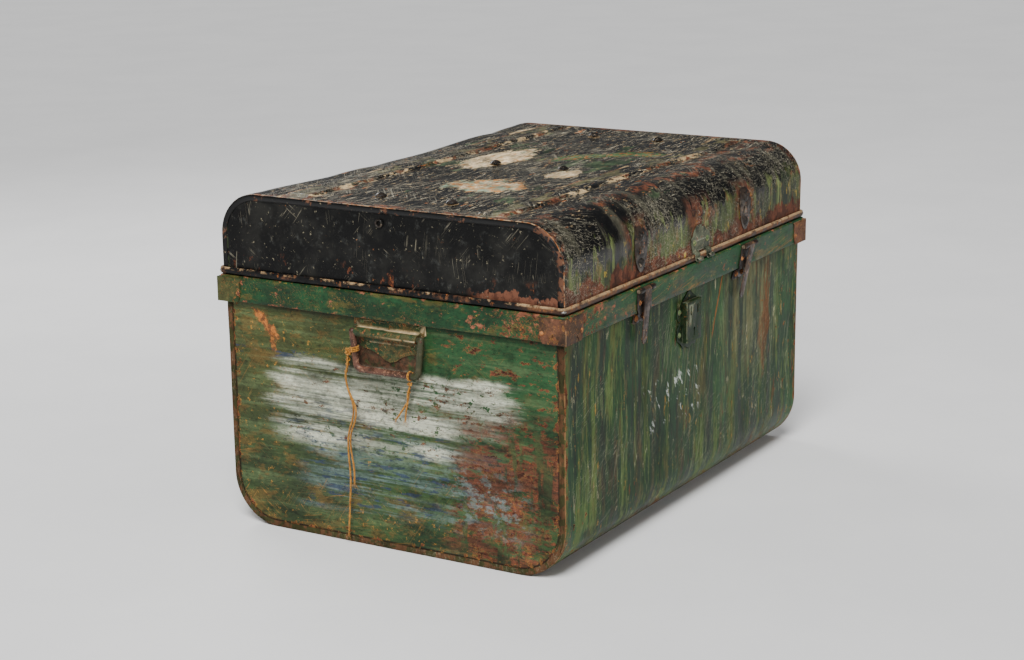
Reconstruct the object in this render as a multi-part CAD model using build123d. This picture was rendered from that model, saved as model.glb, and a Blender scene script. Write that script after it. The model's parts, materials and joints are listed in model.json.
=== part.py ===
from build123d import *
import math
import os

# Sheet-metal travelling trunk. Millimetres, +Z up, origin on the floor under the middle of the body.
# +X runs along the front to the right-hand end, -Y is the front with the lock.

# Driving dimensions: body, lid and collar
SHEET = 0.8
BODY_LENGTH = 768.0
BODY_DEPTH = 558.0
BODY_RIM_Z = 384.0
BODY_CORNER_RADIUS = 75.0
LID_LENGTH = 775.0
LID_DEPTH = 563.0
LID_BOTTOM_Z = 373.0
LID_TOP_Z = 492.0
LID_CORNER_RADIUS = 61.0
SEAM_WIDTH = 9.0
SEAM_THICKNESS = 1.2

COLLAR_PROUD = 8.0
COLLAR_BOTTOM_Z = 335.0
COLLAR_TOP_Z = 372.0
COLLAR_THICKNESS = 1.2
COLLAR_LEG = 18.0
COLLAR_EDGE_RADIUS = 3.0

# Rolled rim and its wire
BEAD_PROUD = 4.5
BEAD_HEIGHT = 10.0
BEAD_RADIUS = 4.0
WIRE_RADIUS = 1.8
WIRE_CLEARANCE = 0.05
WIRE_INSET = 1.9
WIRE_BEND = 2.3

# Two swaged ribs along the lid
RIB_Y = 158.0
RIB_WIDTH = 47.0
RIB_HEIGHT = 3.5
RIB_SLOPE = 6.0
RIB_END_GAP = 10.0

# Fittings
PLATE = 1.3
RUNNING_FIT = 0.06
BODY_GAP = 0.4
BRACKET_FRONT = 50.0
BRACKET_END = 44.0
BRACKET_SWING = 8.0
HASP_X = 171.0
HASP_LEAN_RIGHT = -20.0
HASP_WIDTH = 42.0
HASP_BOTTOM_Z = 318.0
BARREL_RADIUS = 4.0
BARREL_LENGTH = 44.0
HASP_PIN_RADIUS = 1.8
TONGUE_KNUCKLE = 18.0
TONGUE_LENGTH = 80.0
TONGUE_TOP_WIDTH = 18.0
TONGUE_TIP_WIDTH = 14.0
TONGUE_THICKNESS = 1.5
TONGUE_TILT = 5.4
LOCK_X = -15.0
LOCK_WIDTH = 48.0
LOCK_BOTTOM_Z = 258.0
LOCK_TOP_Z = 318.0
LOCK_DEPTH = 8.8
LOCK_WALL = 1.2
BOLT_TRAVEL = 7.0
BOLT_GUIDES = (-6.0, 4.5)
GUIDE_RADIUS = 1.5
GUIDE_Z = 295.5
STAPLE_SLOTS = (-11.0, 11.0)
KEYHOLE_Z = 276.0
CENTRE_HASP_X = 17.0
STUD_X = 310.0
STUD_Y = (-62.0, 56.0)
HANDLE_Y = -4.0
HANDLE_PIVOT_Z = 315.0
HANDLE_PIVOT_OUT = 8.5
BAIL_BAR_Z = 262.0
BAIL_RADIUS = 4.75
BAIL_TOP_HALF = 57.0
BAIL_BOTTOM_HALF = 51.0
BAIL_PINTLE = 3.6
BAIL_CORNER = 9.0
HINGE_X = 230.0
HINGE_LENGTH = 62.0
HINGE_RADIUS = 4.5
HINGE_PIN_RADIUS = 2.4
HINGE_AXIS_Z = 374.0
TWINE_RADIUS = 1.4

# Derived places
BODY_X = BODY_LENGTH / 2
BODY_Y = BODY_DEPTH / 2
LID_X = LID_LENGTH / 2
LID_Y = LID_DEPTH / 2
COLLAR_X = BODY_X + COLLAR_PROUD
COLLAR_Y = BODY_Y + COLLAR_PROUD
HASP_AXIS_Y = -(COLLAR_Y + BARREL_RADIUS)
HASP_AXIS_Z = COLLAR_TOP_Z - BARREL_RADIUS - 1.0
HINGE_AXIS_Y = COLLAR_Y + HINGE_RADIUS
HANDLE_PIVOT_X = BODY_X + HANDLE_PIVOT_OUT
LEFT, RIGHT = -1, 1
SIDES = {"left": LEFT, "right": RIGHT}
FRONT, BACK = -1, 1

os.makedirs("parts", exist_ok=True)


# Small helpers

def block(x0, x1, y0, y1, z0, z1):
    centre = Pos((x0 + x1) / 2, (y0 + y1) / 2, (z0 + z1) / 2)
    return centre * Box(abs(x1 - x0), abs(y1 - y0), abs(z1 - z0))


def rod(radius, start, end):
    """Round bar from start to end."""
    axis = Vector(*end) - Vector(*start)
    frame = Plane(origin=start, z_dir=axis)
    return frame * Cylinder(radius, axis.length, align=(Align.CENTER, Align.CENTER, Align.MIN))


def side_plate(points, y_from, y_to):
    """Flat plate with an outline in X and Z, filling y_from to y_to."""
    face = make_face(Polyline(*points, close=True))
    frame = Plane(origin=(0, max(y_from, y_to), 0), x_dir=(1, 0, 0), z_dir=(0, -1, 0))
    return frame * extrude(face, abs(y_to - y_from))


def bent_strip(points, x0, x1):
    """Strip bent across the front: a closed outline in Y and Z, run along X."""
    face = make_face(Polyline(*points, close=True))
    frame = Plane(origin=(x0, 0, 0), x_dir=(0, 1, 0), z_dir=(1, 0, 0))
    return frame * extrude(face, x1 - x0)


def tub(half_depth, bottom, top, radius, x0, x1, round_top=False):
    """Block whose cross-section has its two lower, or two upper, corners rounded."""
    outline = Rectangle(2 * half_depth, top - bottom)
    corners = outline.vertices().sort_by(Axis.Y)
    picked = corners[-2:] if round_top else corners[:2]
    outline = fillet(picked, radius)
    frame = Plane(origin=(x0, 0, (bottom + top) / 2), x_dir=(0, 1, 0), z_dir=(1, 0, 0))
    return frame * extrude(outline, x1 - x0)


def mirror_x(shape):
    return mirror(shape, about=Plane.YZ)


def dome(radius, height):
    """Round head with its flat side on the XY plane."""
    ball = (radius ** 2 + height ** 2) / (2 * height)
    cap = Pos(0, 0, height - ball) * Sphere(ball)
    return cap & Cylinder(radius, height, align=(Align.CENTER, Align.CENTER, Align.MIN))


class Rivet:
    """A rivet: a domed head outside, a shank through the sheets and a peened tail inside."""

    def __init__(self, point, outward, head=4.5, height=2.4, shank=1.8, grip=PLATE + SHEET):
        self.frame = Plane(origin=point, z_dir=outward)
        self.head = head
        self.height = height
        self.shank = shank
        self.grip = grip

    def hole(self):
        return self.frame * (Pos(0, 0, -self.grip / 2) * Cylinder(self.shank, self.grip + 0.02))

    def solid(self):
        tail = 1.0
        shank = Pos(0, 0, -self.grip / 2) * Cylinder(self.shank, self.grip)
        foot = Pos(0, 0, -self.grip - tail / 2) * Cylinder(self.shank * 1.5, tail)
        return self.frame * (dome(self.head, self.height) + shank + foot)


def drill(sheet, rivets):
    for rivet in rivets:
        sheet = sheet - rivet.hole()
    return sheet


def rivet_group(rivets):
    return Compound(children=[rivet.solid().solid() for rivet in rivets])


nodes = {}


# Where every rivet goes

def bracket_rivets():
    rivets = []
    for sx in (LEFT, RIGHT):
        for sy in (FRONT, BACK):
            face_y = sy * (COLLAR_Y + PLATE)
            face_x = sx * (COLLAR_X + PLATE)
            grip = PLATE + COLLAR_THICKNESS
            front_x = sx * (COLLAR_X - BRACKET_FRONT + 9.0)
            end_y = sy * (COLLAR_Y - BRACKET_END + 8.0)
            rivets.append(Rivet((front_x, face_y, 347.0), (0, sy, 0), 3.6, 2.0, 1.6, grip))
            rivets.append(Rivet((face_x, end_y, 347.0), (sx, 0, 0), 3.6, 2.0, 1.6, grip))
    return rivets


def handle_rivets(sx):
    face = sx * (BODY_X - SEAM_THICKNESS + PLATE)
    spots = [(-46.0, 329.0), (46.0, 329.0), (-37.0, 299.0), (37.0, 299.0)]
    return [Rivet((face, HANDLE_Y + y, z), (sx, 0, 0), 3.4, 1.6, 1.8) for y, z in spots]


def hasp_lean(sx):
    return HASP_LEAN_RIGHT if sx == RIGHT else 0.0


def hasp_wall_rivets(sx):
    face = -(BODY_Y + PLATE)
    middle = sx * HASP_X + 0.8 * hasp_lean(sx)
    return [Rivet((middle + dx, face, 325.5), (0, -1, 0), 5.0, 3.0) for dx in (-10.5, 10.5)]


def hasp_collar_rivets(sx):
    face = -(COLLAR_Y + PLATE)
    middle = sx * HASP_X + 0.4 * hasp_lean(sx)
    grip = PLATE + COLLAR_THICKNESS
    return [Rivet((middle + dx, face, 349.0), (0, -1, 0), 3.6, 1.8, 1.8, grip) for dx in (-13.5, 13.5)]


def lock_rivets():
    face = -(BODY_Y + PLATE)
    flange = LOCK_WIDTH / 2 + 8.0
    spots = [(-flange, 305.0), (flange, 305.0), (-flange, 271.0), (flange, 271.0)]
    rivets = [Rivet((LOCK_X + dx, face, z), (0, -1, 0), 4.2, 2.6) for dx, z in spots]
    rivets.append(Rivet((LOCK_X, face, 324.5), (0, -1, 0), 2.6, 1.2, 1.4))
    return rivets


def on_lid_front(x, z, lift):
    """Point over the lid's front, a distance off its surface, and the way the surface faces there."""
    bend_z = LID_TOP_Z - LID_CORNER_RADIUS
    if z <= bend_z:
        return (x, -LID_Y - lift, z), (0, -1, 0)
    angle = math.asin((z - bend_z) / (LID_CORNER_RADIUS + lift))
    reach = LID_CORNER_RADIUS + lift
    point = (x, -(LID_Y - LID_CORNER_RADIUS) - reach * math.cos(angle), z)
    return point, (0, -math.cos(angle), math.sin(angle))


def catch_rivets(sx):
    places = [on_lid_front(sx * HASP_X, z, PLATE) for z in (403.0, 440.0)]
    grip = PLATE + SHEET + 0.2
    return [Rivet(point, outward, 7.2, 3.8, 1.9, grip) for point, outward in places]


def centre_hasp_rivets():
    face = -(LID_Y + PLATE)
    return [Rivet((CENTRE_HASP_X + dx, face, 400.0), (0, -1, 0), 5.0, 2.6, 1.8) for dx in (-21.0, 21.0)]


def lid_studs():
    spots = [(i * STUD_X, y) for i in (-1, 0, 1) for y in STUD_Y]
    return [Rivet((x, y, LID_TOP_Z), (0, 0, 1), 9.0, 4.6, 1.9, SHEET) for x, y in spots]


def hinge_body_rivets():
    face = COLLAR_Y + PLATE
    grip = PLATE + COLLAR_THICKNESS
    xs = [sx * HINGE_X + dx for sx in (LEFT, RIGHT) for dx in (-20.0, 0.0, 20.0)]
    return [Rivet((x, face, 352.0), (0, 1, 0), 3.6, 1.8, 1.8, grip) for x in xs]


def hinge_lid_rivets():
    face = LID_Y + PLATE
    spots = [(-20.0, 400.0), (20.0, 400.0), (0.0, 414.0)]
    points = [(sx * HINGE_X + dx, face, z) for sx in (LEFT, RIGHT) for dx, z in spots]
    return [Rivet(point, (0, 1, 0), 3.6, 1.8, 1.8) for point in points]


# Body of the trunk

def body_wrap():
    """Front, bottom and back in one sheet, its long edges caught under the seams of the end caps."""
    far = BODY_X - SEAM_THICKNESS
    inner_radius = BODY_CORNER_RADIUS - SHEET
    shell = tub(BODY_Y, 0, BODY_RIM_Z, BODY_CORNER_RADIUS, -far, far)
    shell -= tub(BODY_Y - SHEET, SHEET, BODY_RIM_Z + 1, inner_radius, -far, far)
    rivets = hasp_wall_rivets(LEFT) + hasp_wall_rivets(RIGHT) + lock_rivets()
    return drill(shell, rivets)


def body_end(sx):
    """End cap: a panel inside the wrap and a seam band folded over the wrap's edge."""
    outside = BODY_X - SEAM_THICKNESS
    x0, x1 = sorted((sx * outside, sx * (outside - SHEET)))
    cap = tub(BODY_Y - SHEET, SHEET, BODY_RIM_Z, BODY_CORNER_RADIUS - SHEET, x0, x1)
    x0, x1 = sorted((sx * BODY_X, sx * outside))
    band = tub(BODY_Y, 0, BODY_RIM_Z, BODY_CORNER_RADIUS, x0, x1)
    window_radius = BODY_CORNER_RADIUS - SEAM_WIDTH
    band -= tub(BODY_Y - SEAM_WIDTH, SEAM_WIDTH, BODY_RIM_Z + 1, window_radius, x0, x1)
    return drill(cap + band, handle_rivets(sx))


def collar_section(wall, sign):
    """Rolled channel: outer face, rounded top edge and a leg back down the wall."""
    face = wall + COLLAR_PROUD
    t = COLLAR_THICKNESS
    outer = Rectangle(COLLAR_PROUD, COLLAR_TOP_Z - COLLAR_BOTTOM_Z)
    outer = fillet(outer.vertices().group_by(Axis.X)[-1].sort_by(Axis.Y)[-1], COLLAR_EDGE_RADIUS)
    outer = Pos((wall + face) / 2, (COLLAR_TOP_Z + COLLAR_BOTTOM_Z) / 2) * outer
    hollow_top = COLLAR_TOP_Z - t
    hollow = Rectangle(COLLAR_PROUD - 2 * t, hollow_top - COLLAR_BOTTOM_Z + 1)
    hollow = fillet(hollow.vertices().group_by(Axis.X)[-1].sort_by(Axis.Y)[-1], COLLAR_EDGE_RADIUS - t)
    hollow = Pos((wall + face) / 2, (hollow_top + COLLAR_BOTTOM_Z - 1) / 2) * hollow
    below_leg_top = COLLAR_TOP_Z - COLLAR_LEG
    below_leg = Pos(wall + t, (below_leg_top + COLLAR_BOTTOM_Z - 1) / 2) * Rectangle(
        2 * t + 0.01, below_leg_top - COLLAR_BOTTOM_Z + 1)
    section = outer - hollow - below_leg
    return section if sign > 0 else mirror(section, about=Plane.YZ)


def collar_long(sy):
    section = collar_section(BODY_Y, sy)
    frame = Plane(origin=(-COLLAR_X, 0, 0), x_dir=(0, 1, 0), z_dir=(1, 0, 0))
    rail = frame * extrude(section, 2 * COLLAR_X)
    rivets = [r for r in bracket_rivets() if r.frame.z_dir.Y * sy > 0.5]
    if sy == FRONT:
        rivets += hasp_collar_rivets(LEFT) + hasp_collar_rivets(RIGHT)
    else:
        rivets += hinge_body_rivets()
    return drill(rail, rivets)


def collar_end(sx):
    section = collar_section(BODY_X, -sx)
    frame = Plane(origin=(0, -BODY_Y, 0), x_dir=(-1, 0, 0), z_dir=(0, 1, 0))
    rail = frame * extrude(section, BODY_DEPTH)
    rivets = [r for r in bracket_rivets() if r.frame.z_dir.X * sx > 0.5]
    return drill(rail, rivets)


def bracket_outline(reach, bottom, top):
    """Plate outline from the corner at 0 to an inner edge with an S curve in it."""
    far = Bezier((reach, top), (reach - BRACKET_SWING, top - 12), (reach + 2, bottom + 14),
                 (reach - BRACKET_SWING, bottom))
    rest = Polyline((reach - BRACKET_SWING, bottom), (0, bottom), (0, top), (reach, top))
    return make_face(Curve() + [far, rest])


def corner_bracket(sx, sy):
    """L-shaped plate round a corner of the collar."""
    bottom = COLLAR_BOTTOM_Z - 1.5
    top = COLLAR_TOP_Z - COLLAR_EDGE_RADIUS
    outer_x = COLLAR_X + PLATE
    outer_y = COLLAR_Y + PLATE
    long_face = Plane(origin=(outer_x, -outer_y, 0), x_dir=(-1, 0, 0), z_dir=(0, 1, 0))
    end_face = Plane(origin=(COLLAR_X, -outer_y, 0), x_dir=(0, 1, 0), z_dir=(1, 0, 0))
    shape = long_face * extrude(bracket_outline(BRACKET_FRONT, bottom, top), PLATE)
    shape += end_face * extrude(bracket_outline(BRACKET_END, bottom, top), PLATE)
    corner = shape.edges().filter_by(Axis.Z).sort_by(lambda e: e.center().X - e.center().Y)[-1]
    shape = fillet(corner, 1.2)
    if sx == LEFT:
        shape = mirror(shape, about=Plane.YZ)
    if sy == BACK:
        shape = mirror(shape, about=Plane.XZ)
    near = [r for r in bracket_rivets() if r.frame.origin.X * sx > 0 and r.frame.origin.Y * sy > 0]
    return drill(shape, near)


# Carrying handles on the two ends

def handle_plate(sx):
    """Plate with a rolled ridge that the bail turns in, and a shaped tab below it."""
    inner = BODY_X - SEAM_THICKNESS
    tab = [(-47, 310), (-49, 297), (-45, 291), (-32, 289), (-19, 284), (-9, 277), (0, 274.5),
           (9, 277), (19, 284), (32, 289), (45, 291), (49, 297), (47, 310)]
    upper = [(55, 316), (60, 320), (59, 334), (-59, 334), (-60, 320), (-55, 316)]
    face = make_face(Polyline(*(tab + upper), close=True))
    frame = Plane(origin=(inner, HANDLE_Y, 0), x_dir=(0, 1, 0), z_dir=(1, 0, 0))
    plate = frame * extrude(face, PLATE)
    ridge_half = BAIL_TOP_HALF - BAIL_RADIUS - 0.8
    bore = BAIL_PINTLE + RUNNING_FIT
    ridge_radius = bore + PLATE + 1.4
    start = (HANDLE_PIVOT_X, HANDLE_Y - ridge_half, HANDLE_PIVOT_Z)
    end = (HANDLE_PIVOT_X, HANDLE_Y + ridge_half, HANDLE_PIVOT_Z)
    ridge = rod(ridge_radius, start, end)
    ridge += block(inner + PLATE / 2, HANDLE_PIVOT_X, start[1], end[1],
                   HANDLE_PIVOT_Z - ridge_radius, HANDLE_PIVOT_Z + ridge_radius)
    ridge = chamfer_ridge(ridge, ridge_half, ridge_radius)
    plate += ridge
    plate -= rod(bore, (start[0], start[1] - 20, start[2]), (end[0], end[1] + 20, end[2]))
    if sx == LEFT:
        plate = mirror_x(plate)
    return drill(plate, handle_rivets(sx))


def chamfer_ridge(ridge, half, radius):
    """Slope both ends of the ridge inwards towards the bottom."""
    slope = 4.0
    low = HANDLE_PIVOT_Z - radius - 1
    high = HANDLE_PIVOT_Z + radius + 1
    for side in (-1, 1):
        wedge = [(side * (half + 2), low), (side * (half - slope), low), (side * half, HANDLE_PIVOT_Z),
                 (side * (half + 2), high)]
        frame = Plane(origin=(BODY_X - 10, HANDLE_Y, 0), x_dir=(0, 1, 0), z_dir=(1, 0, 0))
        ridge -= frame * extrude(make_face(Polyline(*wedge, close=True)), 40)
    return ridge


def bail(sx):
    """Round bar handle with its ends turned inwards as pintles."""
    x = sx * HANDLE_PIVOT_X
    z = HANDLE_PIVOT_Z
    inward = 16.0
    shoulder = BAIL_TOP_HALF - BAIL_RADIUS
    route = [(x, HANDLE_Y - BAIL_TOP_HALF, z), (x, HANDLE_Y - BAIL_BOTTOM_HALF, BAIL_BAR_Z),
             (x, HANDLE_Y + BAIL_BOTTOM_HALF, BAIL_BAR_Z), (x, HANDLE_Y + BAIL_TOP_HALF, z)]
    path = FilletPolyline(*route, radius=BAIL_CORNER)
    section = Plane(origin=path @ 0, z_dir=path % 0) * Circle(BAIL_RADIUS)
    bar = sweep(section, path)
    for side in (-1, 1):
        elbow = Vector(x, HANDLE_Y + side * BAIL_TOP_HALF, z)
        bar += Pos(elbow) * Sphere(BAIL_RADIUS)
        tip = (x, HANDLE_Y + side * (shoulder - inward), z)
        bar += rod(BAIL_PINTLE, tuple(elbow), tip)
    return bar


# Side hasps on the front

def hasp_base(sx):
    """Plate riveted over the collar and stepped back to the wall, with two knuckles on top."""
    lean = hasp_lean(sx)
    middle = sx * HASP_X
    half = HASP_WIDTH / 2
    low_z = HASP_BOTTOM_Z
    step = COLLAR_BOTTOM_Z - BODY_GAP
    face = -COLLAR_Y
    wall = -BODY_Y
    profile = [(face, HASP_AXIS_Z), (face, step), (wall, step - 1.6), (wall, low_z),
               (wall - PLATE, low_z), (wall - PLATE, step - 1.6 - PLATE), (face - PLATE, step - PLATE),
               (face - PLATE, HASP_AXIS_Z)]
    strip = bent_strip(profile, middle - 2 * half, middle + 2 * half)
    outline = [(middle - half, HASP_AXIS_Z), (middle - half + lean * 0.5, 340.0),
               (middle - half + 3 + lean * 0.6, 334.0), (middle - half - 1 + lean, 321.0),
               (middle - half + 3 + lean, low_z), (middle - 4 + lean, low_z), (middle + lean, low_z + 3),
               (middle + 4 + lean, low_z), (middle + half - 3 + lean, low_z),
               (middle + half + 1 + lean, 321.0), (middle + half - 3 + lean * 0.6, 334.0),
               (middle + half + lean * 0.5, 340.0), (middle + half, HASP_AXIS_Z)]
    plate = strip & side_plate(outline, wall + 5, face - 10)
    start = (middle - BARREL_LENGTH / 2, HASP_AXIS_Y, HASP_AXIS_Z)
    end = (middle + BARREL_LENGTH / 2, HASP_AXIS_Y, HASP_AXIS_Z)
    plate += rod(BARREL_RADIUS, start, end)
    gap = TONGUE_KNUCKLE / 2 + BODY_GAP
    low = (middle - gap, HASP_AXIS_Y, HASP_AXIS_Z)
    high = (middle + gap, HASP_AXIS_Y, HASP_AXIS_Z)
    plate -= rod(BARREL_RADIUS + BODY_GAP, low, high)
    plate -= rod(HASP_PIN_RADIUS, (start[0] - 1, start[1], start[2]), (end[0] + 1, end[1], end[2]))
    return drill(plate, hasp_wall_rivets(sx) + hasp_collar_rivets(sx))


def hasp_pin(sx):
    """Pin with a small round head at each end."""
    middle = sx * HASP_X
    half = BARREL_LENGTH / 2
    head = 1.5
    low = (middle - half, HASP_AXIS_Y, HASP_AXIS_Z)
    high = (middle + half, HASP_AXIS_Y, HASP_AXIS_Z)
    pin = rod(HASP_PIN_RADIUS, low, high)
    pin += rod(HASP_PIN_RADIUS * 1.5, (low[0] - head, low[1], low[2]), low)
    pin += rod(HASP_PIN_RADIUS * 1.5, high, (high[0] + head, high[1], high[2]))
    return pin


def tongue(sx):
    """Strap that hangs from the hasp's pin and swings up over the catch plate."""
    lean = hasp_lean(sx)
    middle = sx * HASP_X
    top = HASP_AXIS_Z
    half_top = TONGUE_TOP_WIDTH / 2
    half_tip = TONGUE_TIP_WIDTH / 2
    tip = top - TONGUE_LENGTH
    neck = top - BARREL_RADIUS - 2.0
    outline = [(middle - half_top, top), (middle - half_top, neck), (middle + lean - half_tip, tip + 8),
               (middle + lean - half_tip + 3, tip + 2), (middle + lean, tip),
               (middle + lean + half_tip - 3, tip + 2), (middle + lean + half_tip, tip + 8),
               (middle + half_top, neck), (middle + half_top, top)]
    outer = HASP_AXIS_Y - BARREL_RADIUS
    strap = side_plate(outline, outer, outer + TONGUE_THICKNESS)
    start = (middle - TONGUE_KNUCKLE / 2, HASP_AXIS_Y, HASP_AXIS_Z)
    end = (middle + TONGUE_KNUCKLE / 2, HASP_AXIS_Y, HASP_AXIS_Z)
    strap += rod(BARREL_RADIUS, start, end)
    bore = HASP_PIN_RADIUS + RUNNING_FIT
    strap -= rod(bore, (start[0] - 5, start[1], start[2]), (end[0] + 5, end[1], end[2]))
    return strap.rotate(Axis((0, HASP_AXIS_Y, HASP_AXIS_Z), (1, 0, 0)), TONGUE_TILT)


def lid_skin(lift, thickness, x0, x1):
    """Layer of the given thickness lying a distance off the lid's surface."""
    far = lift + thickness
    outer = tub(LID_Y + far, LID_BOTTOM_Z, LID_TOP_Z + far, LID_CORNER_RADIUS + far, x0, x1, True)
    inner_radius = LID_CORNER_RADIUS + lift
    return outer - tub(LID_Y + lift, LID_BOTTOM_Z - 1, LID_TOP_Z + lift, inner_radius, x0, x1, True)


def catch_plate(sx):
    """Shield-shaped plate bent to the lid's front, with a small boss between its rivets."""
    middle = sx * HASP_X
    half = [(3, 390), (9, 395), (15.5, 406), (18.5, 420), (18.5, 436), (15.5, 446), (11, 452), (4, 454)]
    left = [(middle - x, z) for x, z in half]
    right = [(middle + x, z) for x, z in reversed(half)]
    boss = [(middle - 5, 416), (middle + 5, 416), (middle + 4, 426), (middle - 4, 426)]
    near = LID_Y - 20
    far = LID_Y + 20
    plate = lid_skin(0, PLATE, middle - 30, middle + 30) & side_plate(left + right, -near, -far)
    plate += side_plate(boss, -LID_Y - PLATE, -LID_Y - 2 * PLATE)
    return drill(plate, catch_rivets(sx))


# Lock and centre hasp

def lock_plate():
    """Back plate with side flanges, a gable on top and a shaped lower edge."""
    half = LOCK_WIDTH / 2
    flange = half + 15.0
    outline = [(-half, 318), (-half - 3, 313), (-flange, 311), (-flange, 297), (-half - 6, 288),
               (-flange, 279), (-flange, 264), (-half - 2, 256), (-half + 4, 248), (-10, 250), (0, 244),
               (10, 250), (half - 4, 248), (half + 2, 256), (flange, 264), (flange, 279),
               (half + 6, 288), (flange, 297), (flange, 311), (half + 3, 313), (half, 318), (3, 332),
               (-3, 332)]
    points = [(LOCK_X + x, z) for x, z in outline]
    return drill(side_plate(points, -BODY_Y, -BODY_Y - PLATE), lock_rivets())


def lock_case():
    """Raised box with two staple slots and a keyhole."""
    half = LOCK_WIDTH / 2
    back = -(BODY_Y + PLATE)
    front = back - LOCK_DEPTH
    case = block(LOCK_X - half, LOCK_X + half, front, back, LOCK_BOTTOM_Z, LOCK_TOP_Z)
    upright = case.edges().filter_by(Axis.Z).group_by(Axis.Y)[0]
    case = fillet(upright, 2.0)
    case -= block(LOCK_X - half + LOCK_WALL, LOCK_X + half - LOCK_WALL, front + LOCK_WALL, back,
                  LOCK_BOTTOM_Z + LOCK_WALL, LOCK_TOP_Z - LOCK_WALL)
    for dx in STAPLE_SLOTS:
        case -= block(LOCK_X + dx - 1.6, LOCK_X + dx + 1.6, front - 1, front + 3, 298, 311)
    case -= rod(2.4, (LOCK_X, front - 1, KEYHOLE_Z), (LOCK_X, front + 3, KEYHOLE_Z))
    case -= block(LOCK_X - 1.3, LOCK_X + 1.3, front - 1, front + 3, KEYHOLE_Z - 11, KEYHOLE_Z)
    return case


def lock_bolt():
    """Sliding bolt behind the slots, guided by two studs, with a talon for the key."""
    back = -(BODY_Y + PLATE) - 1.6
    front = back - 2.6
    left = LOCK_X - LOCK_WIDTH / 2 + LOCK_WALL + BODY_GAP
    right = left + 37.4
    bolt = block(left, right, front, back, 293, 309)
    for dx in STAPLE_SLOTS:
        bolt -= block(LOCK_X + dx - 2.4, LOCK_X + dx + 2.4, front - 1, back + 1, 300, 310)
    half_slot = GUIDE_RADIUS + 0.2
    for dx in BOLT_GUIDES:
        ends = (LOCK_X + dx - BOLT_TRAVEL, LOCK_X + dx)
        bolt -= block(*ends, front - 1, back + 1, GUIDE_Z - half_slot, GUIDE_Z + half_slot)
        for x in ends:
            bolt -= rod(half_slot, (x, front - 1, GUIDE_Z), (x, back + 1, GUIDE_Z))
    talon = block(LOCK_X - 3, LOCK_X + 2, front, back, 283, 293)
    return bolt + talon


def lock_studs():
    """Key post and the bolt's two guide studs, riveted to the back plate."""
    back = -(BODY_Y + PLATE)
    solids = [rod(1.2, (LOCK_X, back, KEYHOLE_Z), (LOCK_X, back - 6.4, KEYHOLE_Z)).solid()]
    for dx in BOLT_GUIDES:
        x = LOCK_X + dx
        solids.append(rod(GUIDE_RADIUS, (x, back, GUIDE_Z), (x, back - 5.6, GUIDE_Z)).solid())
    return Compound(children=solids)


def lock_spring():
    """Flat spring over the bolt, fixed under the top of the case."""
    top = LOCK_TOP_Z - LOCK_WALL
    y0 = -(BODY_Y + PLATE) - 1.2
    outline = [(-20, top), (-8, top), (-8, top - 0.6), (8, top - 5.4), (19, top - 5.0), (19, top - 5.5),
               (8, top - 5.9), (-8.4, top - 1.1), (-20, top - 0.6)]
    points = [(LOCK_X + x, z) for x, z in outline]
    return side_plate(points, y0, y0 - 4.0)


def centre_hasp_plate():
    """Crown-shaped plate on the lid with two arms that step over the rim to open knuckles."""
    outline = [(-25, 383), (-29, 396), (-31, 406), (-25, 410), (-21, 418), (-12, 424), (-3, 425),
               (8, 423), (18, 415), (27, 412), (32, 402), (29, 392), (26, 383)]
    points = [(CENTRE_HASP_X + x, z) for x, z in outline]
    step = bent_strip([(-LID_Y, 383), (-LID_Y, 430), (-LID_Y - PLATE, 430), (-LID_Y - PLATE, 383)],
                      CENTRE_HASP_X - 40, CENTRE_HASP_X + 40)
    plate = step & side_plate(points, -LID_Y + 5, -LID_Y - 5)
    over = LID_Y + BEAD_PROUD + BODY_GAP
    arm = [(-LID_Y, 388), (-LID_Y, 386.5), (-over, 383.5), (-over, 376), (-over - PLATE, 376),
           (-over - PLATE, 384), (-LID_Y - PLATE, 388.5)]
    axis_y = -(over + 3.4)
    for x0, x1 in ((-25.0, -11.0), (12.0, 26.0)):
        low = CENTRE_HASP_X + x0
        high = CENTRE_HASP_X + x1
        plate += bent_strip(arm, low, high)
        plate += rod(3.4, (low, axis_y, 376.6), (high, axis_y, 376.6))
        plate -= rod(1.9, (low - 1, axis_y, 376.6), (high + 1, axis_y, 376.6))
    plate -= block(CENTRE_HASP_X - 11, CENTRE_HASP_X + 12, -LID_Y - 9, -LID_Y, 370, 387)
    return drill(plate, centre_hasp_rivets())


# Lid

def rib(bottom_z, width, height, length):
    """One swaged rib: a low bar with sloping sides and ends."""
    low = Pos(0, 0, bottom_z) * Rectangle(length, width)
    high = Pos(0, 0, bottom_z + height) * Rectangle(length - 2 * RIB_SLOPE, width - 2 * RIB_SLOPE)
    return loft([low, high])


def wire_loop(radius):
    """Wire bent into one loop inside the rolled rim."""
    height = LID_BOTTOM_Z + BEAD_HEIGHT / 2
    loop = RectangleRounded(LID_LENGTH + 2 * WIRE_INSET, LID_DEPTH + 2 * WIRE_INSET, WIRE_BEND)
    path = (Pos(0, 0, height) * loop).faces()[0].outer_wire()
    section = Plane(origin=path @ 0, z_dir=path % 0) * Circle(radius)
    return sweep(section, path)


def bead(x0, x1, y0, y1):
    """Full rolled rim round the lid, cut down to one stretch of it."""
    z0 = LID_BOTTOM_Z
    z1 = z0 + BEAD_HEIGHT
    out_x = LID_X + BEAD_PROUD
    out_y = LID_Y + BEAD_PROUD
    ring = block(-out_x, out_x, -out_y, out_y, z0, z1)
    rims = [e for e in ring.edges() if abs(e.center().Z - (z0 + z1) / 2) > 1]
    ring = fillet(rims, BEAD_RADIUS)
    ring -= block(-LID_X, LID_X, -LID_Y, LID_Y, z0 - 1, z1 + 1)
    return ring & block(x0, x1, y0, y1, z0 - 1, z1 + 1)


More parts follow.
